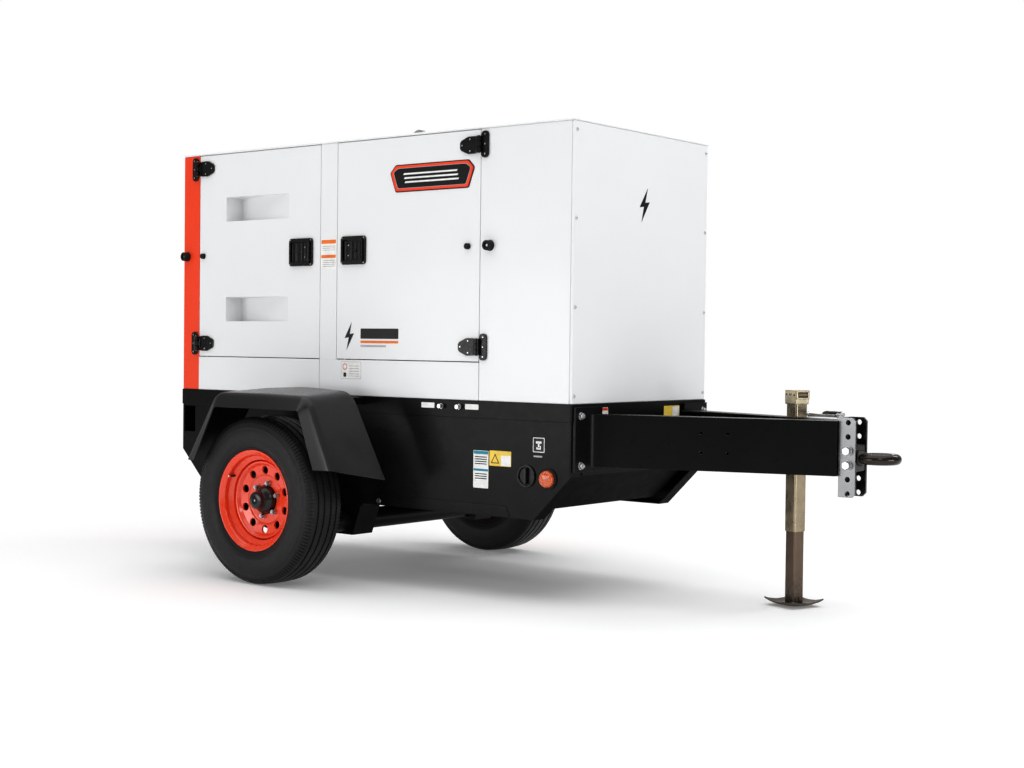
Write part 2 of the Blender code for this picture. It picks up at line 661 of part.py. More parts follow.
def make_fender(side, name):
    """Folded sheet over the tyre: sloped ends, and a lip folded down along the outer edge.

    Each row runs from the rear bottom corner over the top to the front bottom corner.
    """
    rows = [
        [(-0.318, 0.496), (-0.200, 0.723), (0.050, 0.723), (0.299, 0.723), (0.388, 0.493)],
        [(-0.388, 0.494), (-0.203, 0.782), (0.060, 0.782), (0.318, 0.779), (0.441, 0.491)],
        [(-0.436, 0.452), (-0.210, 0.795), (0.068, 0.808), (0.343, 0.796), (0.534, 0.450)],
    ]
    bm = bmesh.new()
    spread = ([0.865] * 5, [0.840, 0.840, 0.832, 0.822, 0.8155], [0.605] * 5)
    verts = [
        [bm.verts.new((x, side * y, z)) for (x, z), y in zip(row, across)]
        for row, across in zip(rows, spread)
    ]
    for outer, inner in zip(verts, verts[1:]):
        for i in range(4):
            bm.faces.new((outer[i], outer[i + 1], inner[i + 1], inner[i]))
    bmesh.ops.recalc_face_normals(bm, faces=bm.faces)
    fender = from_bmesh(name, bm)
    thicken = fender.modifiers.new("thickness", "SOLIDIFY")
    thicken.thickness = 0.004
    thicken.offset = -1.0 if side > 0 else -1.0
    for x in (-0.12, 0.26):
        low, high = sorted((side * (HALF_WIDTH + 0.0035), side * 0.628))
        join(fender, box("fender_bracket", (x - 0.02, low, 0.735), (x + 0.02, high, 0.7955)))
    return finish(fender, name, "black")


# ---------------------------------------------------------------- enclosure

def side_faces(side, outer=HALF_WIDTH, depth=SHEET):
    return sorted((side * outer, side * (outer - depth)))


def make_side_frame(side, name):
    """Sill, centre post and fixed front panel in one sheet, with a header rail behind the doors."""
    header_bottom, header_depth = 1.780, 0.024
    left, right = PILLAR_X + GAP, 1.333
    low, high = side_faces(side, HALF_WIDTH, SHEET + header_depth)
    frame = box("side_sheet", (left, low, FLOOR_Z + GAP), (right, high, TOP_Z))
    low, high = side_faces(side, HALF_WIDTH - SHEET, header_depth + 0.01)
    cut(frame, box("side_hollow", (left - 0.1, low, FLOOR_Z - 0.1), (right + 0.1, high, header_bottom)))
    low, high = side_faces(side, HALF_WIDTH + 0.01, SHEET + GAP + 0.01)
    for start, end in ((left - 0.1, POST_X[0]), (POST_X[1], FIXED_PANEL_X)):
        cut(frame, box("doorway", (start, low, SILL_TOP_Z), (end, high, TOP_Z + 0.1)))
    return finish(frame, name, "white")


def make_door(side, name, span):
    door = box(name, (span[0], side_faces(side)[0], DOOR_BOTTOM_Z), (span[1], side_faces(side)[1], DOOR_TOP_Z))
    return finish(door, name, "white")


def add_scoops(door, side):
    """Air scoops: a wedge pressed in from the face, deepest at its rear end."""
    face = side * HALF_WIDTH
    for low, high in SCOOP_Z:
        deep = side * (HALF_WIDTH - SCOOP_DEPTH)
        wall = 0.004
        body = [
            (SCOOP_X[0] - wall, side * (HALF_WIDTH - 0.005)), (SCOOP_X[0] - wall, deep - side * wall),
            (SCOOP_X[0], deep - side * wall), (SCOOP_X[1] + 0.01, side * (HALF_WIDTH - 0.005)),
        ]
        hollow = [
            (SCOOP_X[0], face + side * 0.01), (SCOOP_X[0], deep),
            (SCOOP_X[1], face), (SCOOP_X[1], face + side * 0.01),
        ]
        if side > 0:
            body.reverse()
            hollow.reverse()
        join(door, plate("scoop_body", body, "Z", low - wall, high + wall))
        cut(door, plate("scoop_hollow", hollow, "Z", low, high))


def make_latch(side, name, centre_x):
    """The pull paddle of a door latch."""
    low, high = sorted((side * (HALF_WIDTH + 0.0003), side * (HALF_WIDTH + 0.0165)))
    half_width, half_height = LATCH_SIZE[0] / 2, LATCH_SIZE[1] / 2
    paddle = box(name, (centre_x - half_width, low, LATCH_Z - half_height),
                 (centre_x + half_width, high, LATCH_Z + half_height))
    return finish(bevel(paddle, 0.004), name, "black")


def make_hinge(side, name, x, z, panel_side):
    """The fixed half of a strap hinge, with its barrel and pin. panel_side is the leaf's side in X."""
    face = side * (HALF_WIDTH + GAP)
    pin_y = side * (HALF_WIDTH + HINGE_OFFSET)
    low, high = sorted((face, side * (HALF_WIDTH + 0.006)))
    edges = sorted((x, x + panel_side * 0.042))
    leaf = box(name, (edges[0], low, z - 0.052), (edges[1], high, z + 0.052))
    barrel = rod("barrel", (x, pin_y, z - 0.050), (x, pin_y, z + 0.050), 0.0125, sides=10)
    return finish(join(leaf, barrel), name, "black")


def make_doors():
    """Two doors a side, each hinged at its outer end and latched at the centre post."""
    for side, side_name in ((-1, "right"), (1, "left")):
        for end, span, hinge_x, panel_side, latch_x in (
            ("rear", REAR_DOOR_X, PILLAR_X, -1, -0.094),
            ("front", FRONT_DOOR_X, FIXED_PANEL_X, 1, 0.216),
        ):
            label = f"{end}_{side_name}"
            door = make_door(side, f"door_{label}", span)
            if end == "rear":
                add_scoops(door, side)
            latch = make_latch(side, f"latch_{label}", latch_x)
            hinge_line = pivot(f"door_{label}_pivot", (hinge_x, side * (HALF_WIDTH + HINGE_OFFSET), 0))
            helpers = [m.object for m in door.modifiers if m.type == "BOOLEAN"]
            pivot_on(hinge_line, door, *helpers)
            latch_edge = latch_x + panel_side * LATCH_SIZE[0] / 2
            latch_line = pivot(f"latch_{label}_pivot", (latch_edge, side * (HALF_WIDTH + 0.008), 0))
            pivot_on(latch_line, latch)
            latch_line.parent = hinge_line
            latch_line.location = latch_line.location - hinge_line.location
            for height, z in zip(("lower", "upper"), HINGE_Z):
                make_hinge(side, f"hinge_{label}_{height}", hinge_x, z, panel_side)


def make_ends():
    panel = box("front_panel", (1.3333, -HALF_WIDTH, FLOOR_Z + GAP), (FRONT_X, HALF_WIDTH, TOP_Z))
    finish(panel, "front_panel", "white")
    inside, wall_x = HALF_WIDTH - SHEET, REAR_X + 0.022
    tray = [
        (REAR_X, -HALF_WIDTH), (PILLAR_X, -HALF_WIDTH), (PILLAR_X, -inside), (wall_x, -inside),
        (wall_x, inside), (PILLAR_X, inside), (PILLAR_X, HALF_WIDTH), (REAR_X, HALF_WIDTH),
    ]
    rear = plate("rear", tray, "Z", FLOOR_Z + GAP, TOP_Z)
    for low, high in ((0.86, 1.18), (1.27, 1.76)):
        cut(rear, box("rear_opening", (REAR_X - 0.05, -0.36, low), (REAR_X + 0.06, 0.36, high)))
    finish(rear, "rear_frame", "orange")
    back = REAR_X - 0.012
    control = box("control_door", (back, -0.38, 1.25), (REAR_X - GAP, 0.38, 1.78))
    finish(bevel(control, 0.003), "control_door", "orange")
    pivot_on(pivot("control_door_pivot", (back, 0.386, 0)), control)
    cover = box("lug_cover", (back, -0.38, 0.84), (REAR_X - GAP, 0.38, 1.20))
    finish(bevel(cover, 0.003), "lug_cover", "black")
    pivot_on(pivot("lug_cover_pivot", (back, 0, 1.206)), cover)


def make_roof():
    """Roof sheet with the air outlet at its front end, its grille, and the lifting frame below."""
    outlet = rectangle((0.985, -0.36), (1.285, 0.36))
    eye_slot = rectangle((0.098, -0.014), (0.216, 0.014))
    outline = rectangle((REAR_X - 0.003, -HALF_WIDTH - 0.003), (FRONT_X + 0.003, HALF_WIDTH + 0.003))
    roof = plate("roof", outline, "Z", TOP_Z + GAP, TOP_Z + 0.009, holes=[outlet, eye_slot])
    finish(roof, "roof", "white")
    slots = [rectangle((x, -0.325), (x + 0.022, 0.325)) for x in [1.005 + 0.038 * i for i in range(7)]]
    grille_outline = rectangle((0.975, -0.37), (1.295, 0.37))
    grille = plate("grille", grille_outline, "Z", TOP_Z + 0.0093, TOP_Z + 0.015, holes=slots)
    finish(grille, "outlet_grille", "black")
    posts = [
        box("post", (0.135, *sorted((side * 0.37, side * 0.41))[:1], FLOOR_Z + GAP),
            (0.180, *sorted((side * 0.37, side * 0.41))[1:], 1.775))
        for side in (-1, 1)
    ]
    beam = box("lift_beam", (0.130, -0.412, 1.755), (0.185, 0.412, 1.812))
    eye_outline = [(0.122, 1.79), (0.192, 1.79)] + [
        (0.157 + 0.043 * math.cos(a), 1.888 + 0.043 * math.sin(a))
        for a in [math.radians(-25 + 23 * i) for i in range(11)]
    ]
    eye = plate("lift_eye", eye_outline, "Y", -0.010, 0.010, holes=[circle((0.157, 1.888), 0.022, 12)])
    finish(join(beam, *posts, eye), "lifting_frame", "black")


# ---------------------------------------------------------------- generator set inside

def make_engine():
    """Block with head, sump and flywheel housing, standing on the deck rails."""
    block = bevel(box("engine", (0.03, -0.145, 0.93), (0.60, 0.145, 1.30)), 0.012)
    head = bevel(box("head", (0.05, -0.11, 1.295), (0.58, 0.11, 1.45)), 0.010)
    sump = box("sump", (0.06, -0.11, 0.815), (0.56, 0.11, 0.935))
    housing = rod("housing", (-0.035, 0, 1.06), (0.035, 0, 1.06), 0.215, sides=20)
    feet = [
        box("foot", (x - 0.04, *sorted((side * 0.13, side * 0.19))[:1], FLOOR_Z + GAP),
            (x + 0.04, *sorted((side * 0.13, side * 0.19))[1:], 0.97))
        for side in (-1, 1) for x in (0.12, 0.50)
    ]
    finish(join(block, head, sump, housing, *feet), "engine_block", "cast")


def make_alternator():
    profile = [(0.0, 0.530), (0.10, 0.530), (0.17, 0.500), (0.20, 0.480), (0.20, 0.030), (0.215, 0.0), (0.0, 0.0)]
    body = turned("alternator_body", profile, (-0.0355, 0, 1.06), (-1, 0, 0), steps=20, collection=cutters)
    feet = [
        box("alternator_foot", (-0.47, *sorted((side * 0.12, side * 0.19))[:1], FLOOR_Z + GAP),
            (-0.14, *sorted((side * 0.12, side * 0.19))[1:], 0.93))
        for side in (-1, 1)
    ]
    finish(join(body, *feet), "alternator", "cast")


def make_cooling():
    fan_x = 0.745
    centre = (fan_x, 0.0, 1.20)
    hub = rod("fan_hub", (0.62, 0, 1.20), (0.765, 0, 1.20), 0.050, sides=12)
    for i in range(6):
        angle = math.tau * i / 6
        blade = box("blade", (-0.004, -0.042, 0.030), (0.004, 0.042, 0.225))
        turn = Matrix.Rotation(angle, 4, "X") @ Matrix.Rotation(math.radians(32), 4, "Z")
        blade.matrix_basis = Matrix.Translation(centre) @ turn
        join(hub, blade)
    fan = finish(hub, "cooling_fan", "black")
    spin = pivot("cooling_fan_pivot", centre)
    helpers = [m.object for m in fan.modifiers if m.type == "BOOLEAN"]
    pivot_on(spin, fan, *helpers)
    core = bevel(box("radiator", (0.860, -0.33, 0.86), (0.935, 0.33, 1.58)), 0.004)
    legs = [
        box("radiator_leg", (0.865, side * 0.30 - 0.02, FLOOR_Z + GAP), (0.930, side * 0.30 + 0.02, 0.87))
        for side in (-1, 1)
    ]
    shroud_outline = rectangle((-0.31, 0.90), (0.31, 1.54))
    shroud = plate("shroud", shroud_outline, "X", 0.800, 0.861, holes=[circle((0.0, 1.20), 0.245, 24)])
    finish(join(core, *legs, shroud), "radiator", "black")


def make_exhaust():
    """Silencer across the outlet chamber, its inlet pipe from the head, and its upright outlet."""
    profile = [(0.0, 0.29), (0.075, 0.285), (0.085, 0.27), (0.085, -0.27), (0.075, -0.285), (0.0, -0.29)]
    can = turned("muffler_can", profile, (1.13, 0.0, 1.66), (0, 1, 0), steps=20, collection=cutters)
    inlet = pipe("muffler_inlet", [(0.40, -0.1102, 1.38), (0.40, -0.20, 1.38), (0.44, -0.24, 1.44),
                 (0.50, -0.24, 1.62), (0.56, -0.24, 1.66), (1.10, -0.24, 1.66)], 0.024, collection=cutters)
    outlet = rod("muffler_outlet", (1.13, 0.20, 1.66), (1.13, 0.20, 1.815), 0.030, sides=12)
    straps = box("muffler_strap", (1.110, -0.20, 1.56), (1.150, -0.17, 1.60))
    bracket = box("muffler_bracket", (0.936, -0.205, 1.545), (1.155, -0.165, 1.565))
    finish(join(can, inlet, outlet, straps, bracket), "muffler", "steel")


def make_auxiliaries():
    battery = bevel(box("battery", (-0.50, -0.405, 0.7733), (-0.25, -0.235, 0.985)), 0.004)
    finish(battery, "battery", "black")
    body = rod("air_filter", (0.19, 0.20, 1.58), (0.55, 0.20, 1.58), 0.080, sides=18)
    stand = box("filter_stand", (0.30, 0.12, 1.4503), (0.42, 0.20, 1.56))
    foot = box("filter_foot", (0.30, 0.00, 1.4503), (0.42, 0.14, 1.458))
    finish(join(body, stand, foot), "air_filter", "black")


def make_controls():
    """Control box behind the rear door, with its stop button and main breaker handle."""
    face = REAR_X + 0.030
    shell = bevel(box("control", (face, -0.34, 1.285), (-0.62, 0.34, 1.745)), 0.004)
    arms = [
        box("control_arm", (REAR_X + 0.0223, side * 0.37 - 0.04, 1.36), (-0.70, side * 0.37 + 0.04, 1.40))
        for side in (-1, 1)
    ]
    finish(join(shell, *arms), "control_box", "grey")
    lugs = bevel(box("terminals", (face, -0.34, 0.875), (-0.66, 0.34, 1.165)), 0.004)
    foot = box("terminal_foot", (-0.76, -0.30, FLOOR_Z + GAP), (-0.70, 0.30, 0.88))
    finish(join(lugs, foot), "terminal_box", "grey")
    stop_y, stop_z, travel = -0.25, 1.39, 0.005
    socket = rod("stop_socket", (face - 0.01, stop_y, stop_z), (face + 0.010, stop_y, stop_z), 0.0215)
    cut(shell, socket)
    button = rod("stop", (face + 0.010 - travel - GAP, stop_y, stop_z), (face - 0.020, stop_y, stop_z), 0.020)
    finish(button, "emergency_stop", "red")
    pivot_on(pivot("emergency_stop_pivot", (face, stop_y, stop_z)), button)
    hinge_x = face - 0.0085
    boss = rod("lever_boss", (hinge_x, 0.235, 1.40), (hinge_x, 0.265, 1.40), 0.008, sides=12)
    lever = box("lever", (hinge_x - 0.018, 0.240, 1.3955), (hinge_x - 0.004, 0.260, 1.4045))
    finish(join(lever, boss), "breaker_lever", "black")
    pivot_on(pivot("breaker_lever_pivot", (hinge_x, 0.25, 1.40)), lever, boss)


def hang_wheels():
    """Wheels on their arms: each wheel turns on its stub axle, which swings with its arm."""
    for side, side_name in ((-1, "right"), (1, "left")):
        arm, swing = make_arm(side, f"torsion_arm_{side_name}")
        arm_pieces = [arm] + [m.object for m in arm.modifiers if m.type == "BOOLEAN"]
        pivot_on(swing, *arm_pieces)
        spin = pivot(f"wheel_{side_name}_pivot", (-ARM_PIVOT_X, side * WHEEL_Y, WHEEL_Z - ARM_PIVOT_Z), swing)
        wheel = [
            make_tyre(side, f"tyre_{side_name}"),
            make_rim(side, f"wheel_rim_{side_name}"),
            make_hub(side, f"wheel_hub_{side_name}"),
        ]
        offset = Matrix.Translation((0.0, -side * WHEEL_Y, -WHEEL_Z))
        for piece in wheel:
            helpers = [m.object for m in piece.modifiers if m.type == "BOOLEAN"]
            for obj in (piece, *helpers):
                obj.parent = spin
                obj.matrix_basis = offset @ obj.matrix_basis


make_base()
make_deck()
make_tank()
make_drawbar(-1, "drawbar_right")
make_drawbar(1, "drawbar_left")
make_coupler()
make_lunette()
make_jack()
make_axle()
hang_wheels()
make_fender(-1, "fender_right")
make_fender(1, "fender_left")
make_side_frame(-1, "side_frame_right")
make_side_frame(1, "side_frame_left")
make_doors()
make_ends()
make_roof()
make_engine()
make_alternator()
make_cooling()
make_exhaust()
make_auxiliaries()
make_controls()
bpy.context.view_layer.update()
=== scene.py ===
"""Looks of the towable diesel generator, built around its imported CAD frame.

Metres, +Z up, +X towards the towing ring. Places along the trailer are given from the wheel
axle, as in the CAD, and at() adds the axle's own place. side is -1 for the right-hand side
(-Y) and +1 for the left.
"""

import json
import math
import random

import bmesh
import bpy
from mathutils import Matrix, Vector, noise
from mathutils.geometry import tessellate_polygon


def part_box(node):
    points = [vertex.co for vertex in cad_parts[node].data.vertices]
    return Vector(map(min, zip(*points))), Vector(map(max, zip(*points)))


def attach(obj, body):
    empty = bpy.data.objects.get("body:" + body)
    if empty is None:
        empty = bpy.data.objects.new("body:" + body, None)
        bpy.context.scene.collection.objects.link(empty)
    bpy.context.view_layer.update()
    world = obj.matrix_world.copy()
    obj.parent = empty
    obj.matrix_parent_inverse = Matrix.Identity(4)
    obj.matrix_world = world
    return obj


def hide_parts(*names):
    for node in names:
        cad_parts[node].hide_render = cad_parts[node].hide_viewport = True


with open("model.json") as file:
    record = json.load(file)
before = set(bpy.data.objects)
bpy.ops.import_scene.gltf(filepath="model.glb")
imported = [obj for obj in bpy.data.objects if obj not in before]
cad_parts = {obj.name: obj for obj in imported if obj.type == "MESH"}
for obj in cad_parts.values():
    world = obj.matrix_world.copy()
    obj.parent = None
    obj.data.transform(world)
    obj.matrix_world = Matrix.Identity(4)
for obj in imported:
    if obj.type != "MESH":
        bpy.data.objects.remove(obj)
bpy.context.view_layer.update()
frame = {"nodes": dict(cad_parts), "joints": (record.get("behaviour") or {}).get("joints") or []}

SIDES = (("right", -1), ("left", 1))
TYRE_LOW, TYRE_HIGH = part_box("tyre_right")
AXLE_X = (TYRE_LOW.x + TYRE_HIGH.x) / 2
WHEEL_Z = (TYRE_LOW.z + TYRE_HIGH.z) / 2
WHEEL_Y = -(TYRE_LOW.y + TYRE_HIGH.y) / 2

DOOR_LOW, DOOR_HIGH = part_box("door_front_left")
FACE_Y = DOOR_HIGH.y                         # outer face of the body sides
PANEL_LOW, PANEL_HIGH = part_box("front_panel")
FRONT_X = PANEL_HIGH.x - AXLE_X
FLOOR_Z, TOP_Z = PANEL_LOW.z, PANEL_HIGH.z
REAR_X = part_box("rear_frame")[0].x - AXLE_X
SHARP = math.radians(34)
STUDIO_LEVEL = 0.34
DOOR_DEPTH = 0.0197
FENDER_SHEET = 0.0038


def at(x, y, z):
    return Vector((x + AXLE_X, y, z))


# ------------------------------------------------------------------------- materials

class Nodes:
    """A small wrapper that adds shader nodes and links them by socket name."""

    def __init__(self, name):
        self.material = bpy.data.materials.new(name)
        self.material.use_nodes = True
        self.tree = self.material.node_tree
        self.shader = self.tree.nodes["Principled BSDF"]
        coordinates = self.tree.nodes.new("ShaderNodeTexCoord")
        self.place = coordinates.outputs["Object"]

    def add(self, kind, settings=None, **inputs):
        node = self.tree.nodes.new("ShaderNode" + kind)
        for key, value in (settings or {}).items():
            setattr(node, key, value)
        for key, value in inputs.items():
            self.set(node, key.replace("_", " "), value)
        return node

    def set(self, node, name, value):
        socket = node.inputs[int(name)] if name.isdigit() else node.inputs[name]
        if isinstance(value, bpy.types.NodeSocket):
            self.tree.links.new(value, socket)
        else:
            socket.default_value = value

    def texture(self, scale, detail=3.0, kind="Noise", stretch=(1, 1, 1), **inputs):
        vector = self.place
        if stretch != (1, 1, 1):
            vector = self.add("Mapping", Vector=self.place, Scale=stretch).outputs[0]
        if kind == "Noise":
            inputs["Detail"] = detail
        return self.add("Tex" + kind, Vector=vector, Scale=scale, **inputs).outputs[0]

    def ramp(self, value, low, high, start=0.0, end=1.0):
        return self.add("MapRange", Value=value, From_Min=low, From_Max=high, To_Min=start, To_Max=end).outputs[0]

    def mix(self, factor, first, second, blend="MIX"):
        node = self.add("Mix", {"data_type": "RGBA", "blend_type": blend})
        for socket, value in ((node.inputs[0], factor), (node.inputs[6], first), (node.inputs[7], second)):
            if isinstance(value, bpy.types.NodeSocket):
                self.tree.links.new(value, socket)
            else:
                socket.default_value = value if socket.type == "VALUE" else (*value[:3], 1.0)
        return node.outputs[2]

    def maths(self, operation, first, second):
        node = self.add("Math", {"operation": operation})
        self.set(node, "0", first)
        self.set(node, "1", second)
        return node.outputs[0]

    def bump(self, height, strength, distance=0.001, normal=None):
        node = self.add("Bump", Height=height, Strength=strength, Distance=distance)
        if normal is not None:
            self.set(node, "Normal", normal)
        self.set(self.shader, "Normal", node.outputs[0])
        return node.outputs[0]

    def height_above_ground(self):
        return self.add("SeparateXYZ", Vector=self.place).outputs["Z"]

    def done(self, **inputs):
        for key, value in inputs.items():
            self.set(self.shader, key.replace("_", " "), value)
        return self.material


def rgb(red, green, blue):
    """An sRGB colour, 0 to 255, as linear values."""
    return tuple(
        c / 12.92 if c <= 0.04045 else ((c + 0.055) / 1.055) ** 2.4
        for c in (red / 255, green / 255, blue / 255)
    )


def powder_coat(name, colour, roughness, peel=0.10, coat=0.25, dirt=0.35, dirt_height=0.25, tint=0.03, shine=0.5):
    """Sprayed paint: faint orange peel, slight unevenness, and road dust low down."""
    m = Nodes(name)
    cloud = m.texture(2.2, 4.0)
    light = tuple(min(1.0, c * (1 + tint)) for c in colour)
    dark = tuple(c * (1 - tint) for c in colour)
    base = m.mix(m.ramp(cloud, 0.3, 0.7), dark, light)
    dust = m.maths("MULTIPLY", m.ramp(m.height_above_ground(), dirt_height, dirt_height + 0.5, dirt, 0.0),
                   m.ramp(m.texture(9.0, 6.0), 0.35, 0.75))
    base = m.mix(dust, base, rgb(128, 122, 112))
    rough = m.maths("ADD", m.ramp(m.texture(26.0, 5.0), 0.3, 0.7, roughness - 0.035, roughness + 0.035),
                    m.maths("MULTIPLY", dust, 0.3))
    m.bump(m.texture(420.0, 2.0), peel, 0.0006)
    return m.done(Base_Color=base, Roughness=rough, Coat_Weight=coat, Coat_Roughness=0.12, Specular_IOR_Level=shine)


def textured_black(name, colour, roughness, grain, strength, fleck=0.5):
    """Coarse sprayed texture coat, as on the mudguards: bumps whose raised tips are paler."""
    m = Nodes(name)
    coarse = m.texture(grain, 4.0, Roughness=0.62)
    fine = m.texture(grain * 3.4, 2.0)
    height = m.maths("ADD", coarse, m.maths("MULTIPLY", fine, 0.35))
    tips = m.ramp(coarse, 0.56, 0.74)
    pale = tuple(c * 2.1 + 0.006 for c in colour)
    base = m.mix(m.maths("MULTIPLY", tips, fleck), colour, pale)
    m.bump(height, strength, 0.0016)
    return m.done(Base_Color=base, Roughness=m.ramp(fine, 0.3, 0.7, roughness - 0.08, roughness + 0.10),
                  Specular_IOR_Level=0.25, Coat_Weight=0.55, Coat_Roughness=0.20)


def tyre_rubber():
    m = Nodes("tyre_rubber")
    low = m.height_above_ground()
    grey = m.mix(m.ramp(m.texture(7.0, 6.0), 0.3, 0.75), rgb(19, 19, 20), rgb(30, 30, 31))
    dust = m.maths("MULTIPLY", m.ramp(low, 0.0, 0.05, 0.22, 0.0), m.ramp(m.texture(40.0, 5.0), 0.35, 0.7))
    base = m.mix(dust, grey, rgb(96, 90, 82))
    m.bump(m.texture(700.0, 3.0), 0.25, 0.0006)
    return m.done(Base_Color=base, Roughness=m.ramp(m.texture(55.0, 4.0), 0.3, 0.7, 0.40, 0.55),
                  Specular_IOR_Level=0.32)


def plated(name, colour, roughness, stain=(0.10, 0.075, 0.05), stain_height=0.05, stain_weight=0.75, along=(6, 6, 220)):
    """Plated or bare steel with a drawn finish, uneven tone, and stains near the ground."""
    m = Nodes(name)
    drawn = m.texture(3.0, 5.0, stretch=along)
    cloud = m.texture(14.0, 6.0)
    light = tuple(min(1.0, c * 1.12) for c in colour)
    dark = tuple(c * 0.80 for c in colour)
    base = m.mix(m.ramp(cloud, 0.3, 0.72), dark, light)
    rusty = m.maths("MULTIPLY", m.ramp(m.height_above_ground(), stain_height, stain_height + 0.10, stain_weight, 0.0),
                    m.ramp(m.texture(60.0, 6.0), 0.30, 0.62))
    base = m.mix(rusty, base, stain)
    m.bump(drawn, 0.12, 0.0005)
    return m.done(Base_Color=base, Metallic=m.ramp(rusty, 0.0, 1.0, 0.95, 0.35),
                  Roughness=m.ramp(cloud, 0.3, 0.7, roughness - 0.06, roughness + 0.12))


def moulded(name, colour, roughness, grain=900.0, strength=0.10, coat=0.0):
    """Moulded plastic or rubber with a fine grain."""
    m = Nodes(name)
    base = m.mix(m.ramp(m.texture(30.0, 4.0), 0.3, 0.7), tuple(c * 0.9 for c in colour),
                 tuple(min(1.0, c * 1.12) for c in colour))
    m.bump(m.texture(grain, 2.0), strength, 0.0004)
    return m.done(Base_Color=base, Roughness=m.ramp(m.texture(70.0, 3.0), 0.3, 0.7, roughness - 0.04, roughness + 0.05),
                  Coat_Weight=coat, Coat_Roughness=0.1, Specular_IOR_Level=0.3)


def cast_paint(name, colour, roughness):
    m = Nodes(name)
    grain = m.texture(160.0, 5.0)
    oil = m.ramp(m.texture(5.0, 6.0), 0.45, 0.75)
    base = m.mix(m.maths("MULTIPLY", oil, 0.5), colour, tuple(c * 0.35 for c in colour))
    m.bump(grain, 0.35, 0.0012)
    return m.done(Base_Color=base, Roughness=m.ramp(oil, 0.0, 1.0, roughness, roughness - 0.18))


def lens_material():
    """Amber moulded lens with rings of prisms inside, and a faint painted glow."""
    m = Nodes("amber_lens")
    cells = m.texture(170.0, kind="Voronoi")
    base = m.mix(m.ramp(cells, 0.1, 0.7), rgb(236, 118, 44), rgb(176, 60, 12))
    m.bump(cells, 0.5, 0.0012)
    # A faint emission makes the lens glow of itself: painted light.
    return m.done(Base_Color=base, Roughness=0.16, Coat_Weight=0.8, Coat_Roughness=0.05,
                  Emission_Color=(*rgb(230, 96, 26), 1.0), Emission_Strength=0.06)


def core_fins():
    m = Nodes("radiator_core")
    wave = m.add("TexWave", {"bands_direction": "Z"}, Vector=m.place, Scale=90.0, Distortion=0.4).outputs[1]
    # Dark bands between lighter fin stripes on a flat sheet. The dark stands for the shade in the gaps between the
    # fins: painted shade.
    base = m.mix(wave, rgb(12, 12, 13), rgb(60, 62, 64))
    m.bump(wave, 0.8, 0.003)
    return m.done(Base_Color=base, Metallic=0.7, Roughness=m.ramp(wave, 0.0, 1.0, 0.65, 0.4))


def floor_material():
    """Matt pale floor that runs out into the white of the studio away from the object."""
    m = Nodes("floor_matte")
    parts = m.add("SeparateXYZ", Vector=m.place)
    reach = m.maths("POWER", m.maths("ADD", m.maths("POWER", parts.outputs["X"], 2.0), m.maths("POWER", parts.outputs["Y"], 2.0)), 0.5)
    base = m.mix(m.ramp(m.texture(0.8, 3.0), 0.3, 0.7), (0.905, 0.907, 0.910), (0.925, 0.927, 0.930))
    base = m.mix(m.ramp(reach, 2.6, 4.2), base, (0.0, 0.0, 0.0))
    return m.done(Base_Color=base, Roughness=m.ramp(m.texture(3.0, 3.0), 0.3, 0.7, 0.55, 0.62), Specular_IOR_Level=0.0,
                  Emission_Color=(1.0, 1.0, 1.0, 1.0), Emission_Strength=m.ramp(reach, 2.6, 4.2, 0.16, 1.05))


WHITE = powder_coat("white_paint", rgb(236, 237, 238), 0.34, peel=0.07, coat=0.18, dirt=0.0, tint=0.012)
ORANGE = powder_coat("orange_paint", rgb(243, 66, 14), 0.34, peel=0.08, coat=0.3, dirt=0.0, tint=0.03)
RIM_PAINT = powder_coat("rim_paint", rgb(242, 64, 12), 0.26, peel=0.04, coat=0.8, dirt=0.10, dirt_height=0.1)
# A dark copy of the rim's orange for its inner side: painted shade.
RIM_BACK_SHADE = powder_coat("rim_back_painted_shade", rgb(38, 14, 9), 0.55, peel=0.05, coat=0.0, dirt=0.1, dirt_height=0.1, shine=0.2)
BLACK = powder_coat("black_paint", rgb(12, 13, 14), 0.30, peel=0.10, coat=0.02, dirt=0.02, tint=0.10, shine=0.13)
# A darker, duller copy of the black paint for faces that look down, and on the tank for faces that look forward:
# painted shade.
SHADED_UNDERSIDE = powder_coat("black_underside_painted_shade", rgb(4, 5, 5), 0.55, peel=0.10, coat=0.0, dirt=0.0, tint=0.10, shine=0.03)
BLACK_GLOSS = powder_coat("black_gloss", rgb(17, 17, 18), 0.24, peel=0.05, coat=0.25, dirt=0.0, tint=0.08, shine=0.4)
GUARD = textured_black("mudguard_texture", rgb(13, 14, 15), 0.36, 220.0, 0.75)
RUBBER = moulded("black_rubber", rgb(20, 20, 21), 0.62, 1400.0, 0.15)
TYRE = tyre_rubber()
PLASTIC = moulded("black_plastic", rgb(13, 13, 14), 0.26, 1500.0, 0.04, coat=0.05)
MATTE_PLASTIC = moulded("matte_plastic", rgb(24, 24, 25), 0.50, 800.0, 0.15)
GREY_PLASTIC = moulded("grey_plastic", rgb(150, 153, 156), 0.45, 800.0, 0.10)
RED_PLASTIC = moulded("red_plastic", rgb(205, 18, 16), 0.28, 1500.0, 0.03, coat=0.5)
LABEL_WHITE = moulded("label_white", rgb(238, 238, 236), 0.42, 2000.0, 0.02)
LABEL_ORANGE = moulded("label_orange", rgb(236, 122, 42), 0.42, 2000.0, 0.02)
LABEL_YELLOW = moulded("label_yellow", rgb(238, 205, 88), 0.42, 2000.0, 0.02)
LABEL_BLUE = moulded("label_blue", rgb(44, 138, 160), 0.42, 2000.0, 0.02)
LABEL_GREY = moulded("label_grey", rgb(176, 178, 180), 0.42, 2000.0, 0.02)
LABEL_FAINT = moulded("label_faint", rgb(212, 214, 214), 0.42, 2000.0, 0.02)
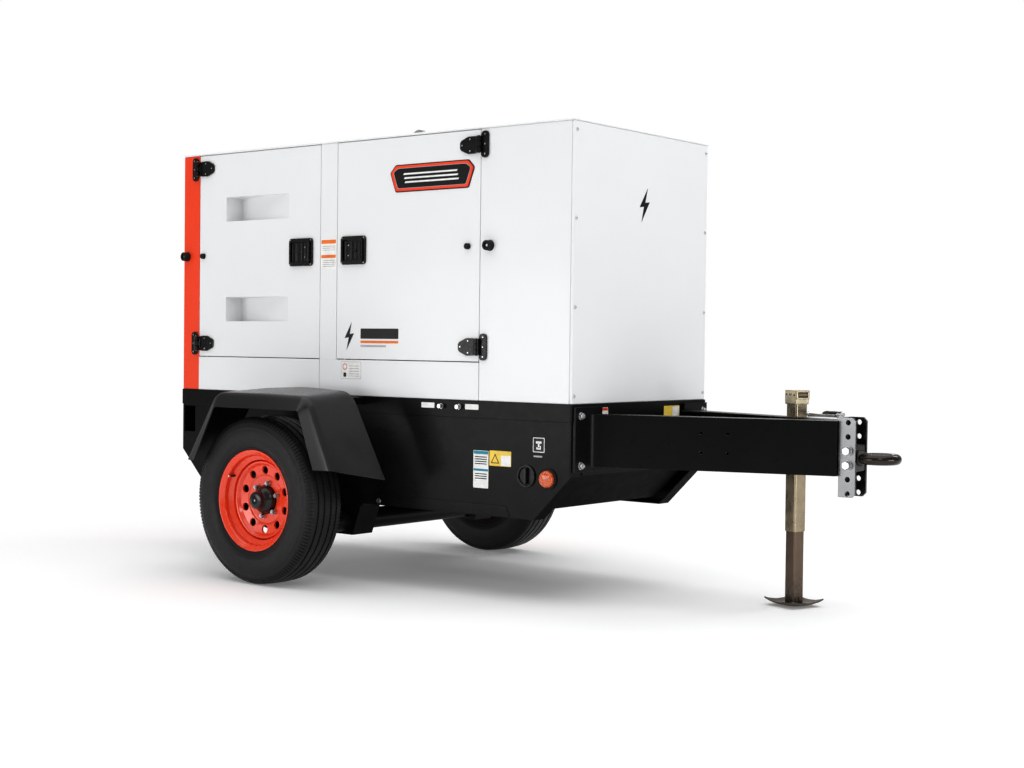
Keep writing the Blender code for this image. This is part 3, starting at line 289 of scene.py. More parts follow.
LABEL_RED = moulded("label_red", rgb(214, 60, 34), 0.38, 2000.0, 0.02)
LABEL_BLACK = moulded("label_black", rgb(16, 16, 17), 0.32, 2000.0, 0.02)
ZINC = plated("yellow_zinc", rgb(170, 156, 133), 0.27)
HEAD_ZINC = plated("head_zinc", rgb(226, 214, 184), 0.34)
LEG_STEEL = plated("leg_steel", rgb(112, 97, 84), 0.32, stain=(0.055, 0.042, 0.032), stain_height=0.06)
FOOT_STEEL = plated("foot_steel", rgb(92, 82, 74), 0.42, stain=(0.05, 0.04, 0.032), stain_weight=0.4)
# A pale plated finish for the coupler's outer flange faces. It stands in for a bright reflection on the glossy black:
# painted reflection.
FLANGE_REFLECTION_PLATE = plated("flange_plate_painted_reflection", rgb(150, 151, 152), 0.36, stain_weight=0.0, along=(120, 120, 120))
BRIGHT = plated("bright_steel", rgb(205, 206, 208), 0.28, stain_weight=0.0, along=(40, 40, 40))
RING_STEEL = plated("ring_steel", rgb(66, 61, 58), 0.20, stain_weight=0.0, along=(30, 30, 30))
CAST = cast_paint("cast_iron", rgb(92, 96, 100), 0.62)
ENGINE_PAINT = cast_paint("engine_paint", rgb(40, 44, 48), 0.50)
FOIL = plated("exhaust_steel", rgb(168, 164, 156), 0.40, stain_weight=0.0, along=(60, 60, 60))
FOAM = textured_black("lining_foam", rgb(34, 34, 35), 0.9, 90.0, 0.9, fleck=0.3)
AMBER = lens_material()
CORE = core_fins()


# ------------------------------------------------------------------------- mesh helpers

class Form:
    """Collects shapes in one mesh, each with its material, and makes them a piece of the object."""

    def __init__(self, name, *materials):
        self.name = name
        self.bm = bmesh.new()
        self.materials = list(materials)
        self.matrix = None

    def _add(self, verts, material, radius=0.0, segments=2, matrix=None):
        faces = {face for vert in verts for face in vert.link_faces}
        if material not in self.materials:
            self.materials.append(material)
        index = self.materials.index(material)
        for face in faces:
            face.material_index = index
        if matrix is not None:
            bmesh.ops.transform(self.bm, matrix=matrix, verts=verts)
        if radius > 0:
            edges = [
                edge for edge in {edge for vert in verts for edge in vert.link_edges}
                if len(edge.link_faces) == 2 and edge.calc_face_angle(0.0) > SHARP
            ]
            bmesh.ops.bevel(self.bm, geom=edges, offset=radius, segments=segments, profile=0.5,
                            affect="EDGES", clamp_overlap=True)
        return self

    def box(self, low, high, material, radius=0.0015, segments=2, matrix=None):
        low, high = Vector(low), Vector(high)
        low, high = Vector(map(min, low, high)), Vector(map(max, low, high))
        shape = Matrix.Translation((low + high) / 2) @ Matrix.Diagonal((*(high - low), 1.0))
        made = bmesh.ops.create_cube(self.bm, size=1.0, matrix=shape)
        return self._add(made["verts"], material, radius, segments, matrix)

    def rod(self, start, end, radius, material, end_radius=None, sides=24, edge=0.001, matrix=None, segments=1):
        start, end = Vector(start), Vector(end)
        direction = end - start
        shape = Matrix.Translation((start + end) / 2) @ direction.to_track_quat("Z", "Y").to_matrix().to_4x4()
        made = bmesh.ops.create_cone(
            self.bm, cap_ends=True, segments=sides, radius1=radius,
            radius2=radius if end_radius is None else end_radius, depth=direction.length, matrix=shape,
        )
        return self._add(made["verts"], material, edge, segments, matrix)

    def hexagon(self, start, end, across_flats, material, edge=0.0008):
        return self.rod(start, end, across_flats / math.sqrt(3), material, sides=6, edge=edge)

    def turned(self, profile, centre, direction, material, steps=48, closed=False, matrix=None, radius=0.0):
        """Turns (radius, height) points round the axis. An open profile has both ends on it."""
        turn = Matrix.Translation(centre) @ Vector(direction).to_track_quat("Z", "Y").to_matrix().to_4x4()
        rings = []
        for r, h in profile:
            if r < 1e-6:
                rings.append([self.bm.verts.new(turn @ Vector((0, 0, h)))])
                continue
            rings.append([
                self.bm.verts.new(turn @ Vector((r * math.cos(math.tau * i / steps), r * math.sin(math.tau * i / steps), h)))
                for i in range(steps)
            ])
        pairs = list(zip(rings, rings[1:]))
        if closed:
            pairs.append((rings[-1], rings[0]))
        for upper, lower in pairs:
            for i in range(steps):
                j = (i + 1) % steps
                corners = [upper[i % len(upper)], lower[i % len(lower)], lower[j % len(lower)], upper[j % len(upper)]]
                self.bm.faces.new([v for k, v in enumerate(corners) if v not in corners[:k]])
        return self._add([vert for ring in rings for vert in ring], material, radius, 1, matrix)

    def plate(self, outline, axis, low, high, material, holes=(), radius=0.0, segments=2, matrix=None):
        """An extruded outline with holes. The outline is (y, z), (x, z) or (x, y) for axis X, Y or Z."""
        low, high = min(low, high), max(low, high)

        def place(u, v, w):
            return {"X": (w, u, v), "Y": (u, w, v), "Z": (u, v, w)}[axis]

        loops = [list(outline), *[list(hole) for hole in holes]]
        flat = [point for loop in loops for point in loop]
        bottom = [self.bm.verts.new(place(u, v, low)) for u, v in flat]
        top = [self.bm.verts.new(place(u, v, high)) for u, v in flat]
        if len(loops) == 1:
            faces = [self.bm.faces.new(bottom), self.bm.faces.new(top)]
        else:
            triangles = tessellate_polygon([[Vector((u, v, 0)) for u, v in loop] for loop in loops])
            faces = [self.bm.faces.new([ring[i] for i in t]) for t in triangles for ring in (bottom, top)]
        start = 0
        for loop in loops:
            count = len(loop)
            for i in range(count):
                a, b = start + i, start + (i + 1) % count
                faces.append(self.bm.faces.new((bottom[a], bottom[b], top[b], top[a])))
            start += count
        bmesh.ops.recalc_face_normals(self.bm, faces=faces)
        return self._add(bottom + top, material, radius, segments, matrix)

    def sweep(self, points, radius, material, sides=12, matrix=None):
        """A round bar along a smooth path, with flat ends."""
        points = [Vector(p) for p in points]
        rings = []
        side = None
        for i, point in enumerate(points):
            ahead = (points[min(i + 1, len(points) - 1)] - points[max(i - 1, 0)]).normalized()
            if side is None:
                side = ahead.orthogonal().normalized()
            side = (side - ahead * side.dot(ahead)).normalized()
            other = ahead.cross(side)
            rings.append([
                self.bm.verts.new(point + (side * math.cos(a) + other * math.sin(a)) * radius)
                for a in [math.tau * k / sides for k in range(sides)]
            ])
        faces = [self.bm.faces.new(list(reversed(rings[0]))), self.bm.faces.new(rings[-1])]
        for first, second in zip(rings, rings[1:]):
            for k in range(sides):
                j = (k + 1) % sides
                faces.append(self.bm.faces.new((first[k], first[j], second[j], second[k])))
        return self._add([vert for ring in rings for vert in ring], material, 0.0, 1, matrix)

    def copy_of(self, node, material, radius=0.0015, segments=2):
        """The CAD node's own shape, with its edges rounded."""
        before = set(self.bm.verts)
        self.bm.from_mesh(frame["nodes"][node].data)
        verts = [vert for vert in self.bm.verts if vert not in before]
        bmesh.ops.remove_doubles(self.bm, verts=verts, dist=0.00002)
        verts = [vert for vert in self.bm.verts if vert not in before]
        edges = list({edge for vert in verts for edge in vert.link_edges})
        bmesh.ops.dissolve_limit(self.bm, angle_limit=math.radians(1.0), verts=verts, edges=edges)
        verts = [vert for vert in self.bm.verts if vert not in before]
        return self._add(verts, material, radius, segments)

    def done(self, body, slot=None, replaces=(), sharp=SHARP):
        faces = self.bm.faces
        bmesh.ops.recalc_face_normals(self.bm, faces=faces)
        for face in faces:
            face.smooth = True
        for edge in self.bm.edges:
            if len(edge.link_faces) == 2 and edge.calc_face_angle(0.0) > sharp:
                edge.smooth = False
        mesh = bpy.data.meshes.new(self.name)
        self.bm.to_mesh(mesh)
        self.bm.free()
        for material in self.materials:
            mesh.materials.append(material)
        obj = bpy.data.objects.new(self.name, mesh)
        bpy.context.scene.collection.objects.link(obj)
        normals = obj.modifiers.new("normals", "WEIGHTED_NORMAL")
        normals.keep_sharp = True
        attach(obj, body)
        if replaces:
            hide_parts(*replaces)
        return obj


def circle(centre, radius, sides=24, start=0.0):
    return [
        (centre[0] + radius * math.cos(start + math.tau * i / sides), centre[1] + radius * math.sin(start + math.tau * i / sides))
        for i in range(sides)
    ]


def rounded(low, high, radius, steps=5):
    """A rectangle with rounded corners, anticlockwise."""
    points = []
    for cx, cy, start in (
        (high[0] - radius, high[1] - radius, 0), (low[0] + radius, high[1] - radius, 90),
        (low[0] + radius, low[1] + radius, 180), (high[0] - radius, low[1] + radius, 270),
    ):
        for i in range(steps + 1):
            angle = math.radians(start + 90 * i / steps)
            points.append((cx + radius * math.cos(angle), cy + radius * math.sin(angle)))
    return points


def shifted(outline, dx=AXLE_X):
    return [(x + dx, y) for x, y in outline]


def smooth_line(points, radius, steps=5):
    """A polyline in any number of dimensions with its inner corners rounded."""
    points = [Vector(p) for p in points]
    result = [points[0]]
    for before, corner, after in zip(points, points[1:], points[2:]):
        first = corner + (before - corner).normalized() * min(radius, (before - corner).length * 0.49)
        last = corner + (after - corner).normalized() * min(radius, (after - corner).length * 0.49)
        for i in range(steps + 1):
            t = i / steps
            result.append(first * (1 - t) ** 2 + corner * 2 * t * (1 - t) + last * t ** 2)
    result.append(points[-1])
    return result


def paint(node, material):
    """A better material on a CAD node whose shape is already right."""
    data = frame["nodes"][node].data
    data.materials.clear()
    data.materials.append(material)


def rounded_copy(node, material, body, radius=0.0015, segments=2, slot=None):
    form = Form(node + "_formed", material).copy_of(node, material, radius, segments)
    return form.done(body, slot, replaces=[node])


# ------------------------------------------------------------------------- enclosure

ROUND = 0.0022
HINGE_OUT = 0.017
LATCH_Z = 1.376


def side_panels(name, side):
    """Sill panels, centre post, fixed front panel and header, with open seams between them."""
    rear_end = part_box(f"side_frame_{name}")[0].x - AXLE_X
    inner = FACE_Y - 0.0195
    form = Form(f"side_panels_{name}", WHITE)
    for x0, x1, z0, z1 in (
        (rear_end, 0.0158, FLOOR_Z, 0.9217),
        (0.0182, 0.8940, FLOOR_Z, 0.9217),
        (0.0190, 0.1155, 0.9208, TOP_Z),
        (0.8965, 1.3328, FLOOR_Z, TOP_Z),
    ):
        form.box(at(x0, side * inner, z0), at(x1, side * FACE_Y, z1), WHITE, ROUND, 3)
    form.box(at(rear_end, side * (inner - 0.024), 1.780), at(1.3325, side * (inner - 0.0005), TOP_Z), WHITE, 0.001)
    seal_in, seal_out = inner - 0.010, inner - 0.0006
    for x0, x1 in ((rear_end, 0.019), (0.1155, 0.8965)):
        for lo_x, hi_x, z0, z1 in (
            (x0, x1, 0.9080, 0.9190), (x0 + 0.02, x0 + 0.032, 0.919, 1.78), (x1 - 0.032, x1 - 0.02, 0.919, 1.78),
        ):
            form.box(at(lo_x, side * seal_in, z0), at(hi_x, side * seal_out, z1), RUBBER, 0.003)
    form.done("trailer", "white_paint", replaces=[f"side_frame_{name}"])


def door(end, name, side):
    """The CAD door with rolled edges, plus a foam lining sheet inside, cut out round the scoops."""
    node, body = f"door_{end}_{name}", f"{end}_door_{name}"
    form = Form(f"{node}_formed", WHITE).copy_of(node, WHITE, ROUND, 3)
    form.done(body, "white_paint", replaces=[node], sharp=math.radians(9))
    low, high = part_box(node)
    skin = side * (FACE_Y - DOOR_DEPTH)
    holes = []
    if end == "rear":
        for z0, z1 in ((1.072, 1.198), (1.516, 1.642)):
            holes.append(shifted(rounded((-0.592, z0), (-0.150, z1), 0.012))[::-1])
    lining = Form(f"door_lining_{end}_{name}", FOAM)
    lining.plate(rounded((low.x + 0.055, low.z + 0.055), (high.x - 0.055, high.z - 0.055), 0.02), "Y", skin, skin - side * 0.009, FOAM,
                 holes=holes, radius=0.0030, segments=2)
    lining.done(body, "black_plastic")


def latch(end, name, side):
    """A flush latch: flange and raised rim round a pocket, a ridged pull paddle, a lock and rivets."""
    low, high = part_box(f"latch_{end}_{name}")
    low, high = low - at(0, 0, 0), high - at(0, 0, 0)
    x0, x1, z0, z1 = low.x, high.x, low.z, high.z
    face = side * (FACE_Y + 0.0003)

    def loop(inset, radius):
        return shifted(rounded((x0 + inset, z0 + inset), (x1 - inset, z1 - inset), radius))

    ring = Form(f"latch_bezel_{end}_{name}", PLASTIC)
    ring.plate(loop(0.0, 0.014), "Y", face, side * (FACE_Y + 0.0090), PLASTIC, holes=[loop(0.0165, 0.006)[::-1]], radius=0.0026,
               segments=3)
    ring.plate(loop(0.0095, 0.010), "Y", side * (FACE_Y + 0.006), side * (FACE_Y + 0.0155), PLASTIC,
               holes=[loop(0.0165, 0.006)[::-1]], radius=0.0028, segments=3)
    ring.plate(loop(0.0150, 0.004), "Y", face, side * (FACE_Y + 0.0016), PLASTIC)
    for x in (x0 + 0.0075, x1 - 0.0075):
        for z in (z0 + 0.0075, z1 - 0.0075):
            ring.rod(at(x, side * (FACE_Y + 0.0085), z), at(x, side * (FACE_Y + 0.0102), z), 0.0034, BRIGHT, sides=14, edge=0.0006)
    ring.done(f"{end}_door_{name}", "black_plastic")
    hand = -1 if end == "rear" else 1
    hinge_x = x0 + 0.0195 if hand < 0 else x1 - 0.0195
    paddle = Form(f"latch_paddle_{end}_{name}", PLASTIC)
    top = [
        (0.0, 0.0070), (0.003, 0.0130), (0.010, 0.0145), (0.015, 0.0130), (0.018, 0.0070), (0.030, 0.0060), (0.044, 0.0060),
        (0.049, 0.0125), (0.055, 0.0145), (0.063, 0.0145), (0.068, 0.0120), (0.071, 0.0065), (0.080, 0.0060),
        (0.083, 0.0105), (0.090, 0.0120), (0.0985, 0.0110), (0.1005, 0.0075),
    ]
    outline = [tuple(p) for p in smooth_line(top, 0.003, 3)] + [(0.1005, 0.0045), (0.0, 0.0045)]
    points = [(hinge_x - hand * u + AXLE_X, side * (FACE_Y + v)) for u, v in outline]
    paddle.plate(points, "Z", z0 + 0.0200, z1 - 0.0200, PLASTIC, radius=0.0009)
    lock_x = hinge_x - hand * 0.037
    for u in ((0.010, 0.059) if end == "front" else (0.010, 0.088)):
        x = hinge_x - hand * u
        paddle.rod(at(x, side * (FACE_Y + 0.0135), z0 + 0.026), at(x, side * (FACE_Y + 0.0135), z1 - 0.026), 0.0026, BLACK_GLOSS,
                   sides=16, edge=0.0010)
    paddle.rod(at(lock_x, side * (FACE_Y + 0.0055), LATCH_Z), at(lock_x, side * (FACE_Y + 0.0095), LATCH_Z), 0.0080, PLASTIC,
               sides=24, edge=0.0010)
    # The lock's key slot is a thin black bar on its face: painted shade in place of a slot.
    paddle.box(at(lock_x - 0.0009, side * (FACE_Y + 0.0093), LATCH_Z - 0.0045),
               at(lock_x + 0.0009, side * (FACE_Y + 0.0099), LATCH_Z + 0.0045), LABEL_BLACK, 0.0)
    for dz in (-0.021, 0.021):
        x = hinge_x - hand * 0.0765
        paddle.rod(at(x, side * (FACE_Y + 0.0055), LATCH_Z + dz), at(x, side * (FACE_Y + 0.0080), LATCH_Z + dz), 0.0030, BRIGHT,
                   sides=12, edge=0.0006)
    paddle.done(f"{end}_latch_{name}", "black_plastic", replaces=[f"latch_{end}_{name}"])


def hinge(end, name, side, level):
    """Strap hinge: a fixed leaf with rounded ends, knuckles on a pin, and a pointed strap on the door."""
    node = f"hinge_{end}_{name}_{level}"
    low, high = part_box(node)
    z = (low.z + high.z) / 2
    hand = -1 if end == "rear" else 1
    body = f"{end}_door_{name}"
    hinge_x = {j["name"]: j for j in frame["joints"]}[f"{end}_door_{name}_hinge"]["pos_m"][0]
    face, pin_y = side * (FACE_Y + 0.0003), side * (FACE_Y + HINGE_OUT)
    leaf = Form(f"hinge_leaf_{end}_{name}_{level}", PLASTIC)
    far = hinge_x + hand * 0.041
    near = hinge_x + hand * 0.004
    x0, x1 = min(near, far), max(near, far)
    leaf.plate(rounded((x0, z - 0.052), (x1, z + 0.052), 0.0165, 6), "Y", face, side * (FACE_Y + 0.0085), PLASTIC, radius=0.0018)
    leaf.box((min(hinge_x, near + hand * 0.006), side * (FACE_Y + 0.004), z - 0.031),
             (max(hinge_x, near + hand * 0.006), side * (FACE_Y + 0.015), z + 0.031), PLASTIC, 0.002)
    for dz in (-0.038, 0.0, 0.038):
        x = hinge_x + hand * 0.026
        leaf.rod((x, side * (FACE_Y + 0.008), z + dz), (x, side * (FACE_Y + 0.0108), z + dz), 0.0058, PLASTIC, sides=16, edge=0.001)
        leaf.rod((x, side * (FACE_Y + 0.0105), z + dz), (x, side * (FACE_Y + 0.0112), z + dz), 0.0034, BRIGHT, sides=6, edge=0.0)
    for z0, z1 in ((z - 0.032, z - 0.0115), (z + 0.0115, z + 0.032)):
        leaf.rod((hinge_x, pin_y, z0), (hinge_x, pin_y, z1), 0.0110, PLASTIC, sides=20, edge=0.0015)
    for z0, z1 in ((z - 0.0345, z - 0.032), (z + 0.032, z + 0.0345)):
        leaf.rod((hinge_x, pin_y, z0), (hinge_x, pin_y, z1), 0.0058, BRIGHT, sides=16, edge=0.001)
    leaf.done("trailer", "black_paint", replaces=[node])
    strap = Form(f"hinge_strap_{end}_{name}_{level}", PLASTIC)
    strap.rod((hinge_x, pin_y, z - 0.0108), (hinge_x, pin_y, z + 0.0108), 0.0110, PLASTIC, sides=20, edge=0.0015)
    shape = [(0.006, -0.030), (0.030, -0.034), (0.062, -0.034), (0.096, -0.020), (0.103, -0.012), (0.103, 0.012),
             (0.096, 0.020), (0.062, 0.034), (0.030, 0.034), (0.006, 0.030)]
    outline = [(hinge_x - hand * u, z + v) for u, v in shape]
    strap.plate(outline, "Y", face, side * (FACE_Y + 0.0085), PLASTIC, radius=0.0022)
    strap.box((hinge_x, side * (FACE_Y + 0.005), z - 0.0105), (hinge_x - hand * 0.016, side * (FACE_Y + 0.0165), z + 0.0105),
              PLASTIC, 0.002)
    strap.box((hinge_x - hand * 0.014, side * (FACE_Y + 0.007), z - 0.024), (hinge_x - hand * 0.022, side * (FACE_Y + 0.013), z + 0.024),
              PLASTIC, 0.002)
    for u, v in ((0.050, -0.023), (0.050, 0.023), (0.090, 0.0)):
        x = hinge_x - hand * u
        strap.rod((x, side * (FACE_Y + 0.008), z + v), (x, side * (FACE_Y + 0.0102), z + v), 0.0060, PLASTIC, sides=16, edge=0.001)
        strap.rod((x, side * (FACE_Y + 0.0100), z + v), (x, side * (FACE_Y + 0.0108), z + v), 0.0034, BRIGHT, sides=6, edge=0.0)
    strap.done(body, "black_plastic")


def bumpers(name, side):
    """Rubber door stops on the body, and the mushroom studs on the doors that meet them."""
    for end, stop_x, stud_x in (("front", 0.945, 0.835), ("rear", -0.838, -0.726)):
        stop = Form(f"door_stop_{end}_{name}", RUBBER)
        z = 1.375
        profile = [(0.0, 0.019), (0.008, 0.019), (0.0100, 0.0275), (0.0165, 0.0275), (0.0195, 0.0250), (0.0200, 0.0040),
                   (0.0215, 0.0020), (0.0215, 0.0), (0.0, 0.0)]
        stop.turned(profile, at(stop_x, side * (FACE_Y + 0.0004), z), (0, side, 0), RUBBER, 32)
        stop.rod(at(stop_x, side * (FACE_Y + 0.0188), z), at(stop_x, side * (FACE_Y + 0.0205), z), 0.006, BRIGHT, sides=6, edge=0.0005)
        stop.done("trailer", "black_plastic")
        stud = Form(f"door_stud_{end}_{name}", RUBBER)
        profile = [(0.0, 0.0165), (0.008, 0.0160), (0.0120, 0.0125), (0.0120, 0.0095), (0.0085, 0.0075), (0.0075, 0.0045),
                   (0.0120, 0.0030), (0.0125, 0.0), (0.0, 0.0)]
        stud.turned(profile, at(stud_x, side * (FACE_Y + 0.0004), z), (0, side, 0), RUBBER, 28)
        stud.done(f"{end}_door_{name}", "black_plastic")


def button_screw(form, place, normal, radius=0.0062, material=BRIGHT):
    """A low domed screw head. Its hexagon socket is a flat black hexagon on the dome: painted shade in place of the
    recess.
    """
    normal = Vector(normal)
    profile = [(0.0, radius * 0.62), (radius * 0.45, radius * 0.58), (radius * 0.85, radius * 0.36), (radius, 0.0), (0.0, -0.0005)]
    form.turned(profile, place, normal, material, 16)
    # Flat black hexagon for the socket: painted shade in place of a recess.
    form.rod(Vector(place) + normal * radius * 0.55, Vector(place) + normal * radius * 0.68, radius * 0.38, LABEL_BLACK, sides=6, edge=0.0)


def front_panel():
    """Front sheet with rounded edges, its screws, and a plain lightning sign."""
    form = Form("front_panel_formed", WHITE)
    form.box((PANEL_LOW.x, PANEL_LOW.y, PANEL_LOW.z), PANEL_HIGH, WHITE, 0.0040, 4)
    for y in (-0.452, 0.452):
        for z in (1.795, 1.467, 1.135, 0.803):
            form.rod((PANEL_HIGH.x - 0.0004, y, z), (PANEL_HIGH.x + 0.0006, y, z), 0.0078, LABEL_GREY, sides=20, edge=0.0003)
            button_screw(form, (PANEL_HIGH.x + 0.0004, y, z), (1, 0, 0), 0.0058)
    form.done("trailer", "white_paint", replaces=["front_panel"])
    sign = Form("front_sign", LABEL_BLACK)
    bolt = [(0.022, 0.068), (-0.034, -0.010), (-0.004, -0.006), (-0.020, -0.068), (0.036, 0.014), (0.005, 0.010)]
    sign.plate([(y, 1.547 + z) for y, z in bolt], "X", PANEL_HIGH.x + 0.0001, PANEL_HIGH.x + 0.0006, LABEL_BLACK)
    sign.done("trailer", "white_paint")


def labels():
    """Plain stickers without lettering, where the real ones sit."""
    for name, side in SIDES:
        face = side * FACE_Y

        def sticker(form, x0, x1, z0, z1, material, lift=0.0005):
            form.plate(shifted(rounded((x0, z0), (x1, z1), min(0.004, (x1 - x0) / 5, (z1 - z0) / 3), 3)), "Y",
                       face + side * 0.0001, face + side * lift, material)

        post = Form(f"post_label_{name}", LABEL_WHITE)
        sticker(post, 0.023, 0.112, 1.300, 1.426, LABEL_WHITE)
        for z0, z1 in ((1.408, 1.424), (1.348, 1.361)):
            sticker(post, 0.0245, 0.1105, z0, z1, LABEL_ORANGE, 0.0007)
        for z0 in (1.396, 1.388, 1.380, 1.336, 1.328, 1.320, 1.312):
            sticker(post, 0.032, 0.104, z0, z0 + 0.0025, LABEL_GREY, 0.0007)
        post.done("trailer", "white_paint")

        small = Form(f"sill_labels_{name}", LABEL_WHITE)
        sticker(small, 0.148, 0.262, 0.843, 0.914, LABEL_GREY)
        sticker(small, 0.1495, 0.2605, 0.8445, 0.9125, LABEL_WHITE, 0.0007)
        for z0 in (0.895, 0.884, 0.873, 0.862, 0.853):
            sticker(small, 0.192, 0.252, z0, z0 + 0.0025, LABEL_GREY, 0.0009)
        small.plate(circle(at(0.170, 0, 0)[::1][:1] + (0.893,), 0.013, 20), "Y", face + side * 0.0001, face + side * 0.0010,
                    LABEL_RED, holes=[list(reversed(circle(at(0.170, 0, 0)[:1] + (0.893,), 0.010, 20)))])
        sticker(small, 0.162, 0.178, 0.850, 0.868, LABEL_BLACK, 0.0010)
        small.done("trailer", "white_paint")

        badge = Form(f"door_badge_{name}", LABEL_BLACK)
        x0, x1, z0, z1 = 0.418, 0.866, 1.603, 1.714
        for inset, material, lift in ((0.0, LABEL_BLACK, 0.0018), (0.0040, ORANGE, 0.0034), (0.0140, LABEL_GREY, 0.0036),
                                      (0.0160, LABEL_BLACK, 0.0040)):
            x2, x3, top, foot = x0 + inset * 1.3, x1 - inset * 1.3, z1 - inset, z0 + inset
            middle, shoulder = z0 + 0.72 * (z1 - z0), 0.030 - inset * 0.4
            corners = [(0.642, foot), (x3 - shoulder, foot), (x3, middle), (x3 - shoulder, top), (x2 + shoulder, top), (x2, middle),
                       (x2 + shoulder, foot), (0.642, foot)]
            outline = [tuple(p) for p in smooth_line(shifted(corners), 0.008, 3)][:-1]
            badge.plate(outline, "Y", face + side * 0.0001, face + side * lift, material, radius=0.0004, segments=1)
        for i in range(3):
            x, z = 0.500 - 0.004 * i, 1.642 + 0.0165 * i
            badge.plate(shifted([(x, z - 0.0034), (x + 0.284, z - 0.0034), (x + 0.288, z + 0.0034), (x + 0.004, z + 0.0034)]), "Y",
                        face + side * 0.0038, face + side * 0.0044, LABEL_WHITE)
        badge.done(f"front_door_{name}", "white_paint")

        sign = Form(f"door_sign_{name}", LABEL_BLACK)
        bolt = [(0.014, 0.058), (-0.026, -0.008), (-0.002, -0.005), (-0.014, -0.058), (0.028, 0.012), (0.004, 0.009)]
        sign.plate([(AXLE_X + 0.192 - side * 0 + x, 1.020 + z) for x, z in bolt], "Y", face + side * 0.0001, face + side * 0.0006, LABEL_BLACK)
        for x0, x1, z0, z1, material in ((0.258, 0.470, 1.010, 1.052, LABEL_BLACK), (0.258, 0.470, 0.992, 1.002, LABEL_ORANGE),
                                         (0.258, 0.402, 0.976, 0.984, LABEL_GREY)):
            sign.plate(shifted(rounded((x0, z0), (x1, z1), 0.0035, 3)), "Y", face + side * 0.0001, face + side * 0.0006, material)
        sign.done(f"front_door_{name}", "white_paint")


def rear_end():
    """Coloured end frame, control door with its window, lug cover with a pull, and their hinges."""
    rounded_copy("rear_frame", ORANGE, "trailer", 0.0022, 3, "orange_paint")
    low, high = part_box("control_door")
    form = Form("control_door_formed", ORANGE)
    window = rounded((-0.20, 1.42), (0.20, 1.70), 0.02)
    form.plate(rounded((low.y, low.z), (high.y, high.z), 0.006, 3), "X", low.x, high.x, ORANGE,
               holes=[list(reversed(window))], radius=0.0018)
    seal = rounded((-0.212, 1.408), (0.212, 1.712), 0.026)
    form.plate(seal, "X", low.x - 0.0020, low.x + 0.002, RUBBER, holes=[list(reversed(rounded((-0.194, 1.426), (0.194, 1.694), 0.016)))],
               radius=0.0008)
    form.rod((low.x - 0.012, -0.335, 1.515), (low.x + 0.001, -0.335, 1.515), 0.021, PLASTIC, sides=28, edge=0.002)
    form.box((low.x - 0.019, -0.341, 1.490), (low.x - 0.010, -0.329, 1.540), PLASTIC, 0.002)
    for z in (1.31, 1.72):
        form.rod((low.x, 0.386, z - 0.030), (low.x, 0.386, z + 0.030), 0.0070, PLASTIC, sides=16, edge=0.001)
        form.box((low.x - 0.004, 0.340, z - 0.028), (low.x + 0.001, 0.386, z + 0.028), PLASTIC, 0.0015)
    form.done("control_door", "orange_paint", replaces=["control_door"])
    glass = Form("control_window", MATTE_PLASTIC)
    pane = Nodes("tinted_window")
    pane.bump(pane.texture(12.0, 2.0), 0.02, 0.001)
    pane.done(Base_Color=(0.030, 0.034, 0.038, 1.0), Roughness=pane.ramp(pane.texture(20.0), 0.3, 0.7, 0.06, 0.10),
              Coat_Weight=0.6, Coat_Roughness=0.03)
    glass.plate(rounded((-0.198, 1.422), (0.198, 1.698), 0.018), "X", low.x + 0.002, low.x + 0.006, pane.material, radius=0.0006)
    glass.done("control_door", "black_plastic")
    low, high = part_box("lug_cover")
    cover = Form("lug_cover_formed", BLACK)
    cover.box(low, high, BLACK, 0.0030, 3)
    for i in range(9):
        z = 0.895 + 0.026 * i
        cover.box((low.x - 0.0045, -0.300, z), (low.x + 0.001, 0.300, z + 0.011), BLACK, 0.0022)
    for y in (-0.30, 0.30):
        cover.rod((low.x, y - 0.03, high.z + 0.006), (low.x, y + 0.03, high.z + 0.006), 0.0062, PLASTIC, sides=16, edge=0.001)
        cover.box((low.x - 0.003, y - 0.028, high.z - 0.030), (low.x + 0.001, y + 0.028, high.z + 0.006), PLASTIC, 0.0012)
    cover.sweep(smooth_line([(low.x, -0.06, 0.872), (low.x - 0.0165, -0.06, 0.872), (low.x - 0.0165, 0.06, 0.872),
                             (low.x, 0.06, 0.872)], 0.010, 4), 0.0045, PLASTIC, 10)
    cover.done("lug_cover", "black_plastic", replaces=["lug_cover"])
    screws = Form("rear_screws", BRIGHT)
    for y in (-0.452, 0.452):
        for z in (1.795, 1.467, 1.135, 0.803):
            button_screw(screws, at(REAR_X - 0.0002, y, z), (-1, 0, 0), 0.0058)
    screws.done("trailer", "bolt_steel")


